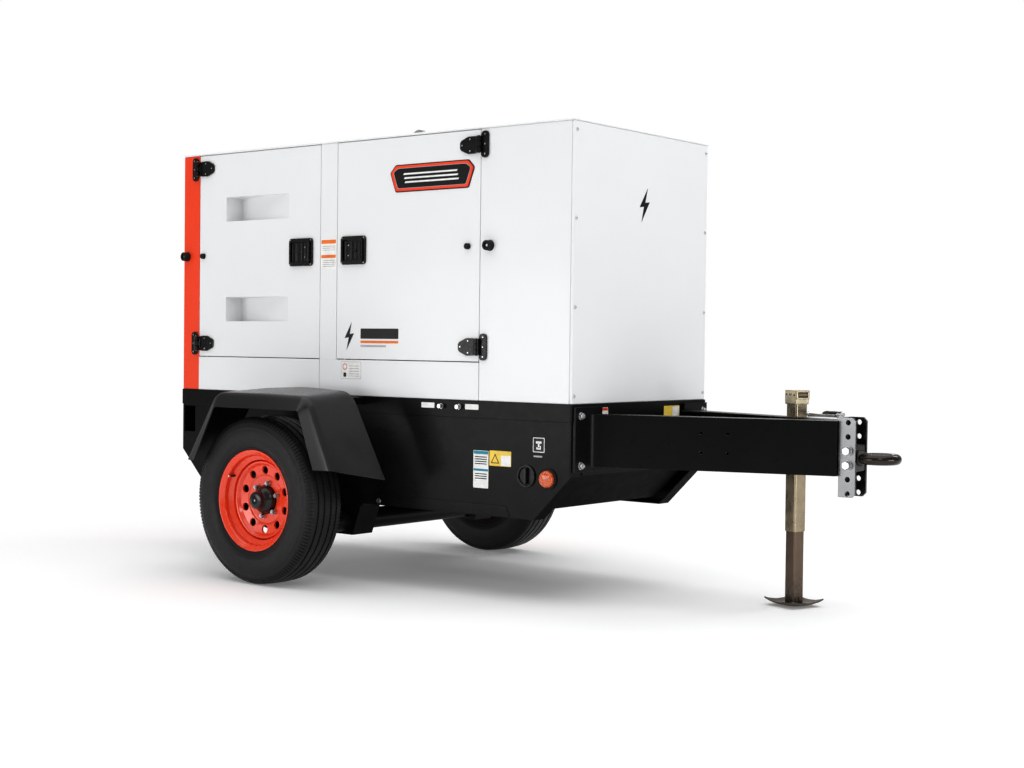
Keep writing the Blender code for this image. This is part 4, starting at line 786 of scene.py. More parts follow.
def roof():
    """Roof sheet with a rolled edge, raised ribs, the outlet grille with its frame, and the lifting eye."""
    rounded_copy("roof", WHITE, "trailer", 0.0030, 3, "white_paint")
    low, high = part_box("roof")
    g_low, g_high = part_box("outlet_grille")
    grille = Form("outlet_grille_formed", BLACK)
    outer = rounded((g_low.x, g_low.y), (g_high.x, g_high.y), 0.012)
    inner = rounded((g_low.x + 0.022, g_low.y + 0.035), (g_high.x - 0.022, g_high.y - 0.035), 0.006)
    grille.plate(outer, "Z", g_low.z, g_high.z, BLACK, holes=[list(reversed(inner))], radius=0.0012)
    for i in range(12):
        x = g_low.x + 0.034 + i * (g_high.x - g_low.x - 0.068) / 11
        turn = Matrix.Translation((x, 0, g_high.z - 0.004)) @ Matrix.Rotation(math.radians(35), 4, "Y")
        grille.box((-0.0008, g_low.y + 0.034, -0.008), (0.0008, g_high.y - 0.034, 0.0045), BLACK, 0.0, matrix=turn)
    for y in (g_low.y + 0.015, 0.0, g_high.y - 0.015):
        for x in (g_low.x + 0.011, g_high.x - 0.011):
            button_screw(grille, (x, y, g_high.z), (0, 0, 1), 0.0050)
    grille.done("trailer", "black_paint", replaces=["outlet_grille"])
    rounded_copy("lifting_frame", BRIGHT, "trailer", 0.0020, 2, "black_paint")
    plate = Form("lifting_eye_plate", RUBBER)
    plate.plate(shifted(rounded((0.085, -0.030), (0.229, 0.030), 0.010)), "Z", high.z + 0.0002, high.z + 0.004, RUBBER,
                holes=[list(reversed(shifted(rounded((0.111, -0.0108), (0.203, 0.0108), 0.003))))], radius=0.0015)
    plate.done("trailer", "black_plastic")


# ------------------------------------------------------------------------- base

def base():
    """Skid base and deck with rounded edges, plus the tank's edge, rub band and lashing slots."""
    for node, radius, segments, slot in (("base_frame", 0.0035, 3, "black_paint"), ("fuel_tank", 0.0, 1, "tank_plastic")):
        piece = rounded_copy(node, BLACK, "trailer", radius, segments, slot)
        # Faces of the base that look down, and the tank's faces that look forward, get the darker copy of the black:
        # painted shade.
        piece.data.materials.append(SHADED_UNDERSIDE)
        for polygon in piece.data.polygons:
            if polygon.normal.z < -0.12 or (node == "fuel_tank" and polygon.normal.x > 0.4):
                polygon.material_index = len(piece.data.materials) - 1
    rounded_copy("deck_frame", BLACK, "trailer", 0.0022, 2, "black_paint")
    for name, side in SIDES:
        face = side * FACE_Y
        trim = Form(f"base_trim_{name}", BLACK)
        band = [(0.385, 0.3290), (1.060, 0.3290), (1.040, 0.3740), (0.400, 0.3740)]
        trim.plate(shifted(band), "Y", face - side * 0.001, face + side * 0.0022, BLACK, radius=0.0018)
        for z0, z1 in ((0.5060, 0.7040), (0.7070, 0.7720)):
            out = 0.0032 if z0 > 0.7 else 0.0
            corner = at(FRONT_X - 0.0042 + out, side * (FACE_Y - 0.0042 + out), 0)
            trim.rod((corner.x, corner.y, z0), (corner.x, corner.y, z1), 0.0046, BLACK, sides=24, edge=0.0012)
        for x, z in ((0.370, 0.3455), (-0.48, 0.3455)):
            trim.hexagon(at(x, face, z), at(x, face + side * 0.0062, z), 0.0170, BRIGHT)
            trim.rod(at(x, face, z), at(x, face + side * 0.0016, z), 0.0120, BRIGHT, sides=20, edge=0.0004)
        trim.plate(shifted(rounded((1.170, 0.5685), (1.212, 0.5745), 0.0028, 4)), "Y", face, face + side * 0.0006, LABEL_GREY)
        trim.done("trailer", "black_paint")
        knob = Form(f"battery_isolator_{name}", RUBBER)
        place = at(1.138, face, 0.494)
        knob.turned([(0.0430, 0.0), (0.0430, 0.0060), (0.0405, 0.0085), (0.0370, 0.0085), (0.0345, 0.0060), (0.0340, 0.0010),
                     (0.0340, 0.0)], place, (0, side, 0), PLASTIC, 48, closed=True)
        knob.turned([(0.0, 0.0012), (0.0345, 0.0012), (0.0345, 0.0), (0.0, 0.0)], place, (0, side, 0), LABEL_BLACK, 48)
        knob.plate(shifted(rounded((1.1305, 0.4625), (1.1455, 0.5255), 0.0060, 5)), "Y", face, face + side * 0.0150, PLASTIC,
                   radius=0.0030, segments=3)
        knob.done("trailer", "black_plastic")
        lamp = Form(f"marker_lamp_{name}", AMBER)
        place = at(1.241, face, 0.489)
        lamp.turned([(0.041, 0.0), (0.041, 0.0055), (0.037, 0.0085), (0.0330, 0.0085), (0.0320, 0.0)], place, (0, side, 0),
                    RUBBER, 40, closed=True)
        lamp.turned([(0.0, 0.0262), (0.012, 0.0258), (0.022, 0.0245), (0.0280, 0.0220), (0.0310, 0.0180), (0.0325, 0.0100),
                     (0.0330, 0.0), (0.0, 0.0)], place, (0, side, 0), AMBER, 48)
        for r in (0.010, 0.017, 0.024):
            lamp.turned([(r - 0.0012, 0.0), (r - 0.0012, 0.0268 - r * r * 5), (r + 0.0012, 0.0268 - r * r * 5), (r + 0.0012, 0.0)], place,
                        (0, side, 0), AMBER, 48, closed=True)
        lamp.done("trailer", "black_plastic")
        signs = Form(f"base_labels_{name}", LABEL_WHITE)

        def sticker(x0, x1, z0, z1, material, lift=0.0006):
            signs.plate(shifted(rounded((x0, z0), (x1, z1), 0.003, 3)), "Y", face + side * 0.0001, face + side * lift, material)

        sticker(0.874, 0.950, 0.434, 0.580, LABEL_WHITE)
        for z0, z1 in ((0.566, 0.5785), (0.500, 0.509)):
            sticker(0.8755, 0.9485, z0, z1, LABEL_BLUE, 0.0008)
        for z0 in (0.554, 0.545, 0.536, 0.527, 0.488, 0.479, 0.470):
            sticker(0.882, 0.942, z0, z0 + 0.0025, LABEL_FAINT, 0.0008)
        sticker(0.955, 1.062, 0.524, 0.583, LABEL_YELLOW)
        sticker(1.012, 1.060, 0.526, 0.566, LABEL_WHITE, 0.0008)
        triangle = [(0.962, 0.534), (1.004, 0.534), (0.983, 0.572)]
        signs.plate(shifted(triangle), "Y", face, face + side * 0.0009, LABEL_BLACK)
        signs.plate(shifted([(0.968, 0.5375), (0.998, 0.5375), (0.983, 0.5645)]), "Y", face, face + side * 0.0011, LABEL_YELLOW)
        sticker(1.167, 1.222, 0.587, 0.643, LABEL_WHITE)
        sticker(1.170, 1.219, 0.590, 0.640, LABEL_BLACK, 0.0008)
        sticker(1.181, 1.208, 0.620, 0.629, LABEL_WHITE, 0.0010)
        sticker(1.191, 1.198, 0.606, 0.622, LABEL_WHITE, 0.0010)
        hook = [(1.184, 0.598), (1.205, 0.598), (1.205, 0.612), (1.200, 0.612), (1.200, 0.603), (1.189, 0.603), (1.189, 0.607), (1.184, 0.607)]
        signs.plate(shifted(hook), "Y", face, face + side * 0.0010, LABEL_WHITE)
        signs.done("trailer", "black_paint")
        fittings = Form(f"fuel_fittings_{name}", BRIGHT)
        rail = side * (FACE_Y + 0.003)
        for x, plate_x in ((0.711, (0.602, 0.671)), (0.803, (0.831, 0.899))):
            fittings.hexagon(at(x, rail, 0.7465), at(x, rail + side * 0.007, 0.7465), 0.021, BRIGHT)
            fittings.rod(at(x, rail + side * 0.007, 0.7465), at(x, rail + side * 0.016, 0.7465), 0.0080, BRIGHT, sides=20)
            fittings.hexagon(at(x, rail + side * 0.012, 0.7465), at(x, rail + side * 0.021, 0.7465), 0.018, BRIGHT)
            fittings.plate(shifted(rounded((plate_x[0], 0.7375), (plate_x[1], 0.7585), 0.002, 2)), "Y", rail, rail + side * 0.0008,
                           LABEL_WHITE)
        fittings.done("trailer", "bolt_steel")
    front = Form("front_labels", LABEL_WHITE)
    x = at(FRONT_X, 0, 0).x + 0.0034
    for y0, y1, z0, z1, material, lift in (
        (-0.322, -0.236, 0.708, 0.7575, LABEL_WHITE, 0.0005), (-0.321, -0.237, 0.7455, 0.7565, LABEL_RED, 0.0008),
        (0.155, 0.270, 0.708, 0.7535, LABEL_YELLOW, 0.0005), (0.218, 0.266, 0.712, 0.7495, LABEL_WHITE, 0.0008),
    ):
        front.plate(rounded((y0, z0), (y1, z1), 0.003, 3), "X", x - 0.0008, x + lift, material)
    front.done("trailer", "black_paint")


# ------------------------------------------------------------------------- drawbar and coupler

def drawbar():
    tail, nose = at(1.3610, 0.349, 0), at(2.2240, 0.064, 0)
    for name, side in SIDES:
        low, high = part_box(f"drawbar_{name}")
        rounded_copy(f"drawbar_{name}", BLACK, "trailer", 0.0030, 3, "black_paint")
        bolts = Form(f"drawbar_bolts_{name}", BRIGHT)
        face = at(1.3610, 0, 0).x
        for z in (0.543, 0.729):
            place = (face, side * 0.430, z)
            bolts.rod(place, (face + 0.003, side * 0.430, z), 0.0150, BRIGHT, sides=28, edge=0.0005)
            bolts.hexagon((face + 0.003, side * 0.430, z), (face + 0.0135, side * 0.430, z), 0.0210, BRIGHT, 0.0015)
            bolts.rod((face + 0.0135, side * 0.430, z), (face + 0.019, side * 0.430, z), 0.0062, BRIGHT, sides=16)
        bolts.done("trailer", "bolt_steel")
        fillet = Form(f"drawbar_fillet_{name}", BLACK)
        along = (Vector((nose.x, side * nose.y, 0)) - Vector((tail.x, side * tail.y, 0))).normalized()
        start = Vector((tail.x, side * tail.y, 0))
        corner = [start + along * 0.024, start + Vector((-0.0005, side * 0.0005, 0)), start + Vector((-0.0005, side * 0.024, 0))]
        curve = [corner[0] * (1 - t) ** 2 + corner[1] * 2 * t * (1 - t) + corner[2] * t ** 2 for t in [i / 6 for i in range(7)]]
        outline = [(p.x, p.y) for p in curve] + [(corner[1].x, corner[1].y)]
        if side < 0:
            outline.reverse()
        fillet.plate(outline, "Z", 0.5365, 0.7335, BLACK)
        fillet.done("trailer", "black_paint")


def coupler():
    channel = rounded_copy("coupler_channel", BLACK_GLOSS, "trailer", 0.0014, 2, "black_paint")
    # The flanges' outer faces get the pale plated finish in place of the bright reflection they show on the glossy
    # black: painted reflection.
    channel.data.materials.append(FLANGE_REFLECTION_PLATE)
    for polygon in channel.data.polygons:
        if abs(polygon.center.y) > 0.0465 and abs(polygon.normal.y) > 0.5:
            polygon.material_index = 1
    low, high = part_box("lunette_ring")
    ring = Form("lunette_ring_formed", RING_STEEL)
    centre_x = high.x - 0.057 - 0.019
    z = 0.602
    steps, sides = 56, 20
    section = [(0.057 + 0.019 * math.cos(a), 0.019 * math.sin(a)) for a in [math.tau * k / sides for k in range(sides)]]
    ring.turned(section, (centre_x, 0, z), (0, 0, 1), RING_STEEL, steps, closed=True)
    neck = [(0.0, 0.002), (0.031, 0.0), (0.0305, 0.008), (0.026, 0.016), (0.0205, 0.026), (0.0190, 0.040), (0.0, 0.041)]
    ring.turned(list(reversed(neck)), (low.x + 0.048, 0, z), (1, 0, 0), RING_STEEL, 32)
    ring.box((low.x, -0.0375, 0.5530), (low.x + 0.0530, 0.0375, 0.6510), BLACK_GLOSS, 0.0050, 3)
    ring.done("trailer", "black_paint", replaces=["lunette_ring"])
    for node in ("coupler_bolt_upper", "coupler_bolt_lower"):
        low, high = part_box(node)
        x, z = (low.x + high.x) / 2, (low.z + high.z) / 2
        bolt = Form(node + "_formed", BRIGHT)
        bolt.rod((x, low.y + 0.002, z), (x, high.y, z), 0.0092, BRIGHT, sides=20, edge=0.0012)
        for y, reach, outward in ((-0.0479, low.y, -1), (0.0479, high.y - 0.004, 1)):
            bolt.rod((x, y, z), (x, y + outward * 0.0032, z), 0.0175, BRIGHT, sides=32, edge=0.0006)
            bolt.hexagon((x, y + outward * 0.0032, z), (x, reach, z), 0.0285, BRIGHT, 0.0016)
        bolt.done("trailer", "bolt_steel", replaces=[node])


def jack():
    """Square side-wind jack: tube and head, bracket with clamp bolts, leg with a dished foot, and crank."""
    joint = {j["name"]: j for j in frame["joints"]}["jack_crank_turn"]
    outward = Vector(joint["axis"])
    along = Vector((outward.y, -outward.x, 0))
    centre = Vector((joint["pos_m"][0], joint["pos_m"][1], 0)) - outward * 0.05
    m = Matrix.Translation(centre) @ Matrix(
        ((along.x, outward.x, 0, 0), (along.y, outward.y, 0, 0), (0, 0, 1, 0), (0, 0, 0, 1)))
    half = 0.05715 / 2
    tube = Form("jack_tube_formed", ZINC)
    outer = rounded((-half, -half), (half, half), 0.0065, 4)
    bore = rounded((-half + 0.0029, -half + 0.0029), (half - 0.0029, half - 0.0029), 0.004, 4)
    tube.plate(outer, "Z", 0.288, 0.783, ZINC, holes=[list(reversed(bore))], matrix=m, radius=0.0008, segments=1)
    head = [(-0.0305, 0.8315), (-0.0310, 0.7960), (-0.0292, 0.7770), (0.0292, 0.7770), (0.0305, 0.7980), (0.0305, 0.8315)]
    tube.plate(head, "Y", -0.0350, 0.0350, HEAD_ZINC, radius=0.0032, segments=3, matrix=m)
    for v0, v1, w0, w1 in ((0.8235, 0.8300, -0.0330, 0.0330), (0.7960, 0.8035, -0.0330, 0.0330), (0.7980, 0.8290, -0.0330, -0.0262),
                           (0.7980, 0.8290, 0.0262, 0.0330)):
        tube.box((0.0290, w0, v0), (0.0345, w1, v1), HEAD_ZINC, 0.0016, 2, m)
    tube.box((0.0300, -0.0265, 0.8030), (0.0308, 0.0265, 0.8240), FOOT_STEEL, 0.0, 1, m)
    tube.rod((0.0300, -0.0255, 0.8135), (0.0300, 0.0255, 0.8135), 0.0038, ZINC, sides=16, edge=0.0, matrix=m)
    # Two small black discs where the head has holes: painted shade in place of the holes.
    for u, v in ((-0.020, 0.8150), (0.021, 0.8130)):
        tube.rod((u, -0.0345, v), (u, -0.0353, v), 0.0038, LABEL_BLACK, sides=16, edge=0.0002, matrix=m)
    tube.rod((-0.001, -0.0345, 0.8160), (-0.001, -0.0372, 0.8160), 0.0060, ZINC, sides=6, edge=0.0008, matrix=m)
    tube.rod((0.0, 0.0345, 0.8150), (0.0, 0.0365, 0.8150), 0.0060, ZINC, sides=6, edge=0.0008, matrix=m)
    tube.box((-0.052, -0.0622, 0.562), (0.052, -half + 0.002, 0.570), ZINC, 0.0015, 2, m)
    tube.box((-0.052, -0.0622, 0.700), (0.052, -half + 0.002, 0.708), ZINC, 0.0015, 2, m)
    tube.box((-0.054, -0.0624, 0.562), (0.054, -0.0564, 0.708), ZINC, 0.0015, 2, m)
    for u in (-0.042, 0.042):
        for v in (0.585, 0.685):
            tube.rod((u, -0.0564, v), (u, -0.0534, v), 0.0115, BRIGHT, sides=24, edge=0.0005, matrix=m)
            tube.rod((u, -0.0534, v), (u, -0.0450, v), 0.0090, BRIGHT, sides=6, edge=0.0008, matrix=m)
    tube.done("trailer", "yellow_zinc", replaces=["jack_tube"])
    leg_half = 0.0508 / 2
    leg = Form("jack_leg_formed", LEG_STEEL)
    leg.plate(rounded((-leg_half, -leg_half), (leg_half, leg_half), 0.0055, 4), "Z", 0.012, 0.520, LEG_STEEL, matrix=m,
              radius=0.0006, segments=1)
    leg.box((-0.0335, -0.0335, 0.0040), (0.0335, 0.0335, 0.0125), FOOT_STEEL, 0.0030, 2, m)
    leg.rod((-0.0385, 0.0, 0.0265), (0.0385, 0.0, 0.0265), 0.0060, FOOT_STEEL, sides=16, edge=0.0012, matrix=m)
    for u in (-0.0285, 0.0285):
        leg.box((u - 0.0028, -0.0160, 0.0100), (u + 0.0028, 0.0160, 0.0350), FOOT_STEEL, 0.0020, 2, m)
        leg.rod((u * 1.08, 0.0, 0.0265), (u * 1.20, 0.0, 0.0265), 0.0090, FOOT_STEEL, sides=6, edge=0.0010, matrix=m)
    count = 24
    size = 0.0797
    random.seed(5)
    grid = []
    for level, base_z in ((0, 0.0003), (1, 0.0058)):
        rows = []
        for i in range(count + 1):
            row = []
            for j in range(count + 1):
                u, v = -size + 2 * size * i / count, -size + 2 * size * j / count
                lift = 0.0130 * ((abs(u) / size) ** 2.2 + (abs(v) / size) ** 2.2)
                lift += 0.0009 * noise.noise(Vector((u * 40, v * 40, 1.0)))
                row.append(leg.bm.verts.new(m @ Vector((u, v, base_z + max(0.0, lift)))))
            rows.append(row)
        grid.append(rows)
    lower, upper = grid
    faces = []
    for i in range(count):
        for j in range(count):
            faces.append(leg.bm.faces.new((lower[i][j], lower[i][j + 1], lower[i + 1][j + 1], lower[i + 1][j])))
            faces.append(leg.bm.faces.new((upper[i][j], upper[i + 1][j], upper[i + 1][j + 1], upper[i][j + 1])))
    border = [(0, j) for j in range(count)] + [(i, count) for i in range(count)]
    border += [(count, j) for j in range(count, 0, -1)] + [(i, 0) for i in range(count, 0, -1)]
    for (a, b), (c, d) in zip(border, border[1:] + border[:1]):
        faces.append(leg.bm.faces.new((lower[a][b], lower[c][d], upper[c][d], upper[a][b])))
    leg._add([vert for rows in grid for row in rows for vert in row], FOOT_STEEL)
    leg.done("jack_leg", "yellow_zinc", replaces=["jack_leg"])
    z = joint["pos_m"][2]
    crank = Form("jack_crank_formed", BRIGHT)
    end = 0.165
    crank.rod((0, 0.0292, z), (0, 0.0600, z), 0.0125, BRIGHT, sides=28, edge=0.0015, matrix=m)
    crank.rod((0, 0.0580, z), (0, 0.0625, z), 0.0080, BRIGHT, sides=6, edge=0.0008, matrix=m)
    crank.plate([(-0.010, z - 0.0055), (0.0, z - 0.0085), (0.060, z - 0.0060), (end, z - 0.0045), (end + 0.005, z),
                 (end, z + 0.0065), (0.060, z + 0.0060), (0.0, z + 0.0085), (-0.010, z + 0.0055)], "Y", 0.0500, 0.0572, BRIGHT,
                radius=0.0016, matrix=m)
    crank.rod((end - 0.004, 0.0480, z + 0.002), (end - 0.004, 0.0830, z + 0.006), 0.0062, BRIGHT, sides=18, edge=0.0012, matrix=m)
    crank.rod((end - 0.004, 0.0540, z + 0.002), (end - 0.004, 0.0600, z + 0.0028), 0.0100, BRIGHT, sides=24, edge=0.0010, matrix=m)
    grip = [(0.0, 0.0), (0.0060, 0.0008), (0.0095, 0.0080), (0.0120, 0.0200), (0.0112, 0.0400), (0.0122, 0.0620), (0.0112, 0.0840),
            (0.0120, 0.0960), (0.0095, 0.0990), (0.0, 0.0990)]
    crank.turned(grip, (end - 0.105, 0.080, z + 0.006), (1, 0, 0), MATTE_PLASTIC, 28, matrix=m)
    crank.rod((end - 0.007, 0.080, z + 0.006), (end + 0.004, 0.080, z + 0.006), 0.0100, BRIGHT, sides=24, edge=0.0016, matrix=m)
    crank.done("jack_crank", "bolt_steel", replaces=["jack_crank"])


# ------------------------------------------------------------------------- running gear

def tyre(name, side):
    """Tyre with rounded shoulders, sidewall ribs, shoulder lugs and four circumferential grooves."""
    centre = (AXLE_X, side * WHEEL_Y, WHEEL_Z)
    outer = [
        (0.2078, 0.0822), (0.2100, 0.0868), (0.2150, 0.0900), (0.2175, 0.0892), (0.2200, 0.0915), (0.2290, 0.0962),
        (0.2400, 0.0994), (0.2415, 0.1002), (0.2445, 0.1004), (0.2460, 0.0999), (0.2560, 0.1010), (0.2680, 0.1013),
        (0.2800, 0.1006), (0.2900, 0.0988), (0.2960, 0.0974), (0.2975, 0.0978), (0.2998, 0.0972), (0.3010, 0.0962),
        (0.3100, 0.0938), (0.3180, 0.0910), (0.3190, 0.0895), (0.3270, 0.0850), (0.3330, 0.0800), (0.3370, 0.0745),
        (0.3408, 0.0700),
    ]
    tread = []
    for groove in (0.0500, 0.0180):
        tread += [(groove + 0.0048, 0.0), (groove + 0.0034, 0.0068), (groove - 0.0034, 0.0068), (groove - 0.0048, 0.0)]

    def crown(w):
        return 0.3444 - 0.0036 * (abs(w) / 0.0700) ** 2.4

    half = list(outer) + [(crown(w) - depth, w) for w, depth in tread]
    profile = half + [(r, -w) for r, w in reversed(half)]
    inside = [(0.2040, 0.0780), (0.1906, 0.0730), (0.1906, 0.0580), (0.2250, 0.0790), (0.2650, 0.0890), (0.3050, 0.0840), (0.3280, 0.0590)]
    profile += [(r, -w) for r, w in inside] + [(r, w) for r, w in reversed(inside)]
    form = Form(f"tyre_{name}_formed", TYRE)
    steps = 180
    form.turned(profile, centre, (0, side, 0), TYRE, steps, closed=True)
    # shoulder lugs: short raised blocks between the shoulder and the first rib
    lugs = 144
    for i in range(lugs):
        for edge in (-1, 1):
            angle = math.tau * (i + (0.25 if edge > 0 else 0.75)) / lugs
            turn = Matrix.Translation(centre) @ Matrix.Rotation(angle, 4, "Y")
            points = [(0.3195, 0.0908), (0.3290, 0.0872), (0.3352, 0.0826), (0.3396, 0.0764), (0.3418, 0.0690), (0.3380, 0.0640),
                      (0.3190, 0.0860)]
            width = 0.0046
            verts = [
                [form.bm.verts.new(turn @ Vector((t, edge * w, r))) for r, w in points]
                for t in (-width, width)
            ]
            form.bm.faces.new(verts[0])
            form.bm.faces.new(list(reversed(verts[1])))
            for k in range(len(points)):
                j = (k + 1) % len(points)
                form.bm.faces.new((verts[0][k], verts[1][k], verts[1][j], verts[0][j]))
    # sipes: thin transverse ribs stand in the grooves between the ribs of the tread
    for i in range(150):
        angle = math.tau * i / 150
        turn = Matrix.Translation(centre) @ Matrix.Rotation(angle, 4, "Y")
        for w in (-0.050, -0.018, 0.018, 0.050):
            form.box((-0.0016, w - 0.0046, 0.3385), (0.0016, w + 0.0046, crown(w) - 0.0030), TYRE, 0.0, matrix=turn)
    form.done(f"wheel_{name}", "tyre_rubber", replaces=[f"tyre_{name}"])


def rim(name, side):
    """Drop-centre steel wheel: rolled flanges, bead seats, well, and a dished disc with round vents."""
    centre = Vector((AXLE_X, side * WHEEL_Y, WHEEL_Z))
    barrel = [
        (0.2072, 0.0835), (0.2072, 0.0866), (0.2052, 0.0874), (0.2020, 0.0866), (0.1962, 0.0812), (0.1905, 0.0768),
        (0.1868, 0.0742), (0.1848, 0.0700), (0.1842, 0.0560), (0.1820, 0.0520), (0.1700, 0.0452), (0.1655, 0.0420),
        (0.1640, 0.0380), (0.1640, -0.0080), (0.1660, -0.0130), (0.1840, -0.0290), (0.1848, -0.0700), (0.1868, -0.0742),
        (0.1962, -0.0812), (0.2020, -0.0866), (0.2052, -0.0874), (0.2072, -0.0866), (0.2072, -0.0835), (0.2040, -0.0832),
        (0.1990, -0.0780), (0.1890, -0.0720), (0.1885, -0.0310), (0.1690, -0.0130), (0.1675, 0.0380), (0.1720, 0.0430),
        (0.1885, 0.0530), (0.1890, 0.0720), (0.1990, 0.0780), (0.2040, 0.0832),
    ]
    form = Form(f"wheel_rim_{name}_formed", RIM_PAINT)
    form.turned(barrel, centre, (0, side, 0), RIM_PAINT, 96, closed=True)
    # the disc, as rings of quads with the vents left out of its flat web
    disc = [(0.1638, 0.0060), (0.1634, 0.0200), (0.1612, 0.0310), (0.1572, 0.0368), (0.1530, 0.0364), (0.1482, 0.0325),
            (0.1444, 0.0262), (0.1405, 0.0224)]
    inner_web = [(0.1035, 0.0175), (0.0990, 0.0134), (0.0955, 0.0117), (0.0600, 0.0115)]
    steps = 120
    thickness = 0.0045

    def ring(r, w):
        return [form.bm.verts.new(centre + Vector((r * math.cos(a), side * w, r * math.sin(a))))
                for a in [math.tau * k / steps for k in range(steps)]]

    front = [ring(r, w) for r, w in disc]
    for first, second in zip(front, front[1:]):
        for k in range(steps):
            j = (k + 1) % steps
            form.bm.faces.new((first[k], first[j], second[j], second[k]))
    outer_edge = front[-1]
    holes = []
    vent_radius, sides = 0.0172, 24
    start = math.pi / 2
    for i in range(10):
        angle = start + math.tau * i / 10
        c = (0.122 * math.cos(angle), 0.122 * math.sin(angle))
        holes.append([(c[0] + vent_radius * math.cos(t), c[1] + vent_radius * math.sin(t)) for t in [math.tau * k / sides for k in range(sides)]])
    inner_edge = circle((0.0, 0.0), inner_web[0][0], steps)
    boundary = circle((0.0, 0.0), disc[-1][0], steps)
    loops = [boundary, inner_edge, *holes]

    def web_height(u, v):
        r = math.hypot(u, v)
        t = min(1.0, max(0.0, (r - 0.1035) / 0.037))
        return 0.0175 + 0.0049 * t

    flat = [p for loop in loops for p in loop]
    verts = list(outer_edge)
    verts += [form.bm.verts.new(centre + Vector((u, side * web_height(u, v), v))) for u, v in flat[steps:]]
    for t in tessellate_polygon([[Vector((u, v, 0)) for u, v in loop] for loop in loops]):
        form.bm.faces.new([verts[i] for i in t])
    inner_verts = verts[steps:2 * steps]
    rows = [inner_verts] + [ring(r, w) for r, w in inner_web[1:]]
    for first, second in zip(rows, rows[1:]):
        for k in range(steps):
            j = (k + 1) % steps
            form.bm.faces.new((first[k], first[j], second[j], second[k]))
    # lips rolled inwards round each vent, and the bore's edge
    offset = 2 * steps
    for _ in range(10):
        loop = verts[offset:offset + sides]
        offset += sides
        middle = sum((v.co for v in loop), Vector()) / sides
        levels = [loop]
        for scale, depth in ((0.965, 0.0012), (0.95, 0.0045), (0.95, 0.0080)):
            levels.append([
                form.bm.verts.new(middle + (v.co - middle) * scale - Vector((0, side * depth, 0))) for v in loop
            ])
        for first, second in zip(levels, levels[1:]):
            for k in range(sides):
                j = (k + 1) % sides
                form.bm.faces.new((first[k], first[j], second[j], second[k]))
    back = [form.bm.verts.new(v.co - Vector((0, side * thickness, 0))) for v in rows[-1]]
    for k in range(steps):
        j = (k + 1) % steps
        form.bm.faces.new((rows[-1][k], rows[-1][j], back[j], back[k]))
    form._add(list(form.bm.verts), RIM_PAINT)
    valve = centre + Vector((0.176 * math.cos(2.6), side * 0.055, 0.176 * math.sin(2.6)))
    form.rod(valve - Vector((0, side * 0.008, 0)), valve + Vector((0, side * 0.022, 0)), 0.0042, RUBBER, sides=16, edge=0.0006)
    form.rod(valve + Vector((0, side * 0.020, 0)), valve + Vector((0, side * 0.029, 0)), 0.0048, BRIGHT, sides=16, edge=0.0008)
    # Faces on the inner side of the rim get the dark copy of its orange: painted shade.
    form.materials.append(RIM_BACK_SHADE)
    for face in form.bm.faces:
        if (face.calc_center_median().y - centre.y) * side < -0.003:
            face.material_index = len(form.materials) - 1
    form.done(f"wheel_{name}", "orange_paint", replaces=[f"wheel_rim_{name}"])


def hub(name, side):
    """Hub barrel with its brake drum, grease cap and rubber plug, and six cone nuts on studs."""
    centre = Vector((AXLE_X, side * WHEEL_Y, WHEEL_Z))
    outward = Vector((0, side, 0))
    form = Form(f"wheel_hub_{name}_formed", BLACK_GLOSS)
    barrel = [
        (0.0, 0.0500), (0.0360, 0.0500), (0.0385, 0.0470), (0.0465, 0.0410), (0.0535, 0.0340), (0.0560, 0.0295), (0.0565, 0.0270),
        (0.0565, 0.0042), (0.0850, 0.0042), (0.1150, -0.0050), (0.1220, -0.0090), (0.1250, -0.0150), (0.1250, -0.0780),
        (0.1170, -0.0780), (0.1170, -0.0180), (0.0560, -0.0180), (0.0460, -0.0600), (0.0, -0.0600),
    ]
    form.turned(barrel, centre, outward, BLACK_GLOSS, 64)
    cap = [
        (0.0, 0.0742), (0.0160, 0.0742), (0.0170, 0.0764), (0.0290, 0.0752), (0.0338, 0.0725), (0.0356, 0.0685), (0.0356, 0.0535),
        (0.0374, 0.0510), (0.0374, 0.0480), (0.0, 0.0470),
    ]
    form.turned(cap, centre, outward, BLACK_GLOSS, 48)
    plug = [(0.0, 0.0758), (0.0060, 0.0756), (0.0090, 0.0746), (0.0135, 0.0756), (0.0158, 0.0748), (0.0158, 0.0735), (0.0, 0.0730)]
    form.turned(plug, centre, outward, RUBBER, 32)
    form.rod(centre + outward * 0.0750, centre + outward * 0.0764, 0.0042, BRIGHT, sides=16, edge=0.0005)
    for i in range(6):
        angle = math.tau * i / 6 + math.radians(17)
        place = centre + Vector((0.0699 * math.cos(angle), side * 0.0117, 0.0699 * math.sin(angle)))
        form.rod(place - outward * 0.004, place + outward * 0.0035, 0.0085, BRIGHT, end_radius=0.0120, sides=24, edge=0.0)
        form.hexagon(place + outward * 0.0025, place + outward * 0.0165, 0.0195, BRIGHT, 0.0016)
        form.rod(place + outward * 0.0155, place + outward * 0.0205, 0.0060, BRIGHT, sides=16, edge=0.0010)
    form.done(f"wheel_{name}", "black_paint", replaces=[f"wheel_hub_{name}"])
    backing = Form(f"brake_backing_{name}", BLACK)
    plate = [(0.0480, -0.0795), (0.1450, -0.0795), (0.1570, -0.0770), (0.1590, -0.0770), (0.1590, -0.0790), (0.1460, -0.0820),
             (0.0480, -0.0820)]
    backing.turned(plate, centre, outward, BLACK, 64, closed=True)
    backing.done(f"arm_{name}", "black_paint")


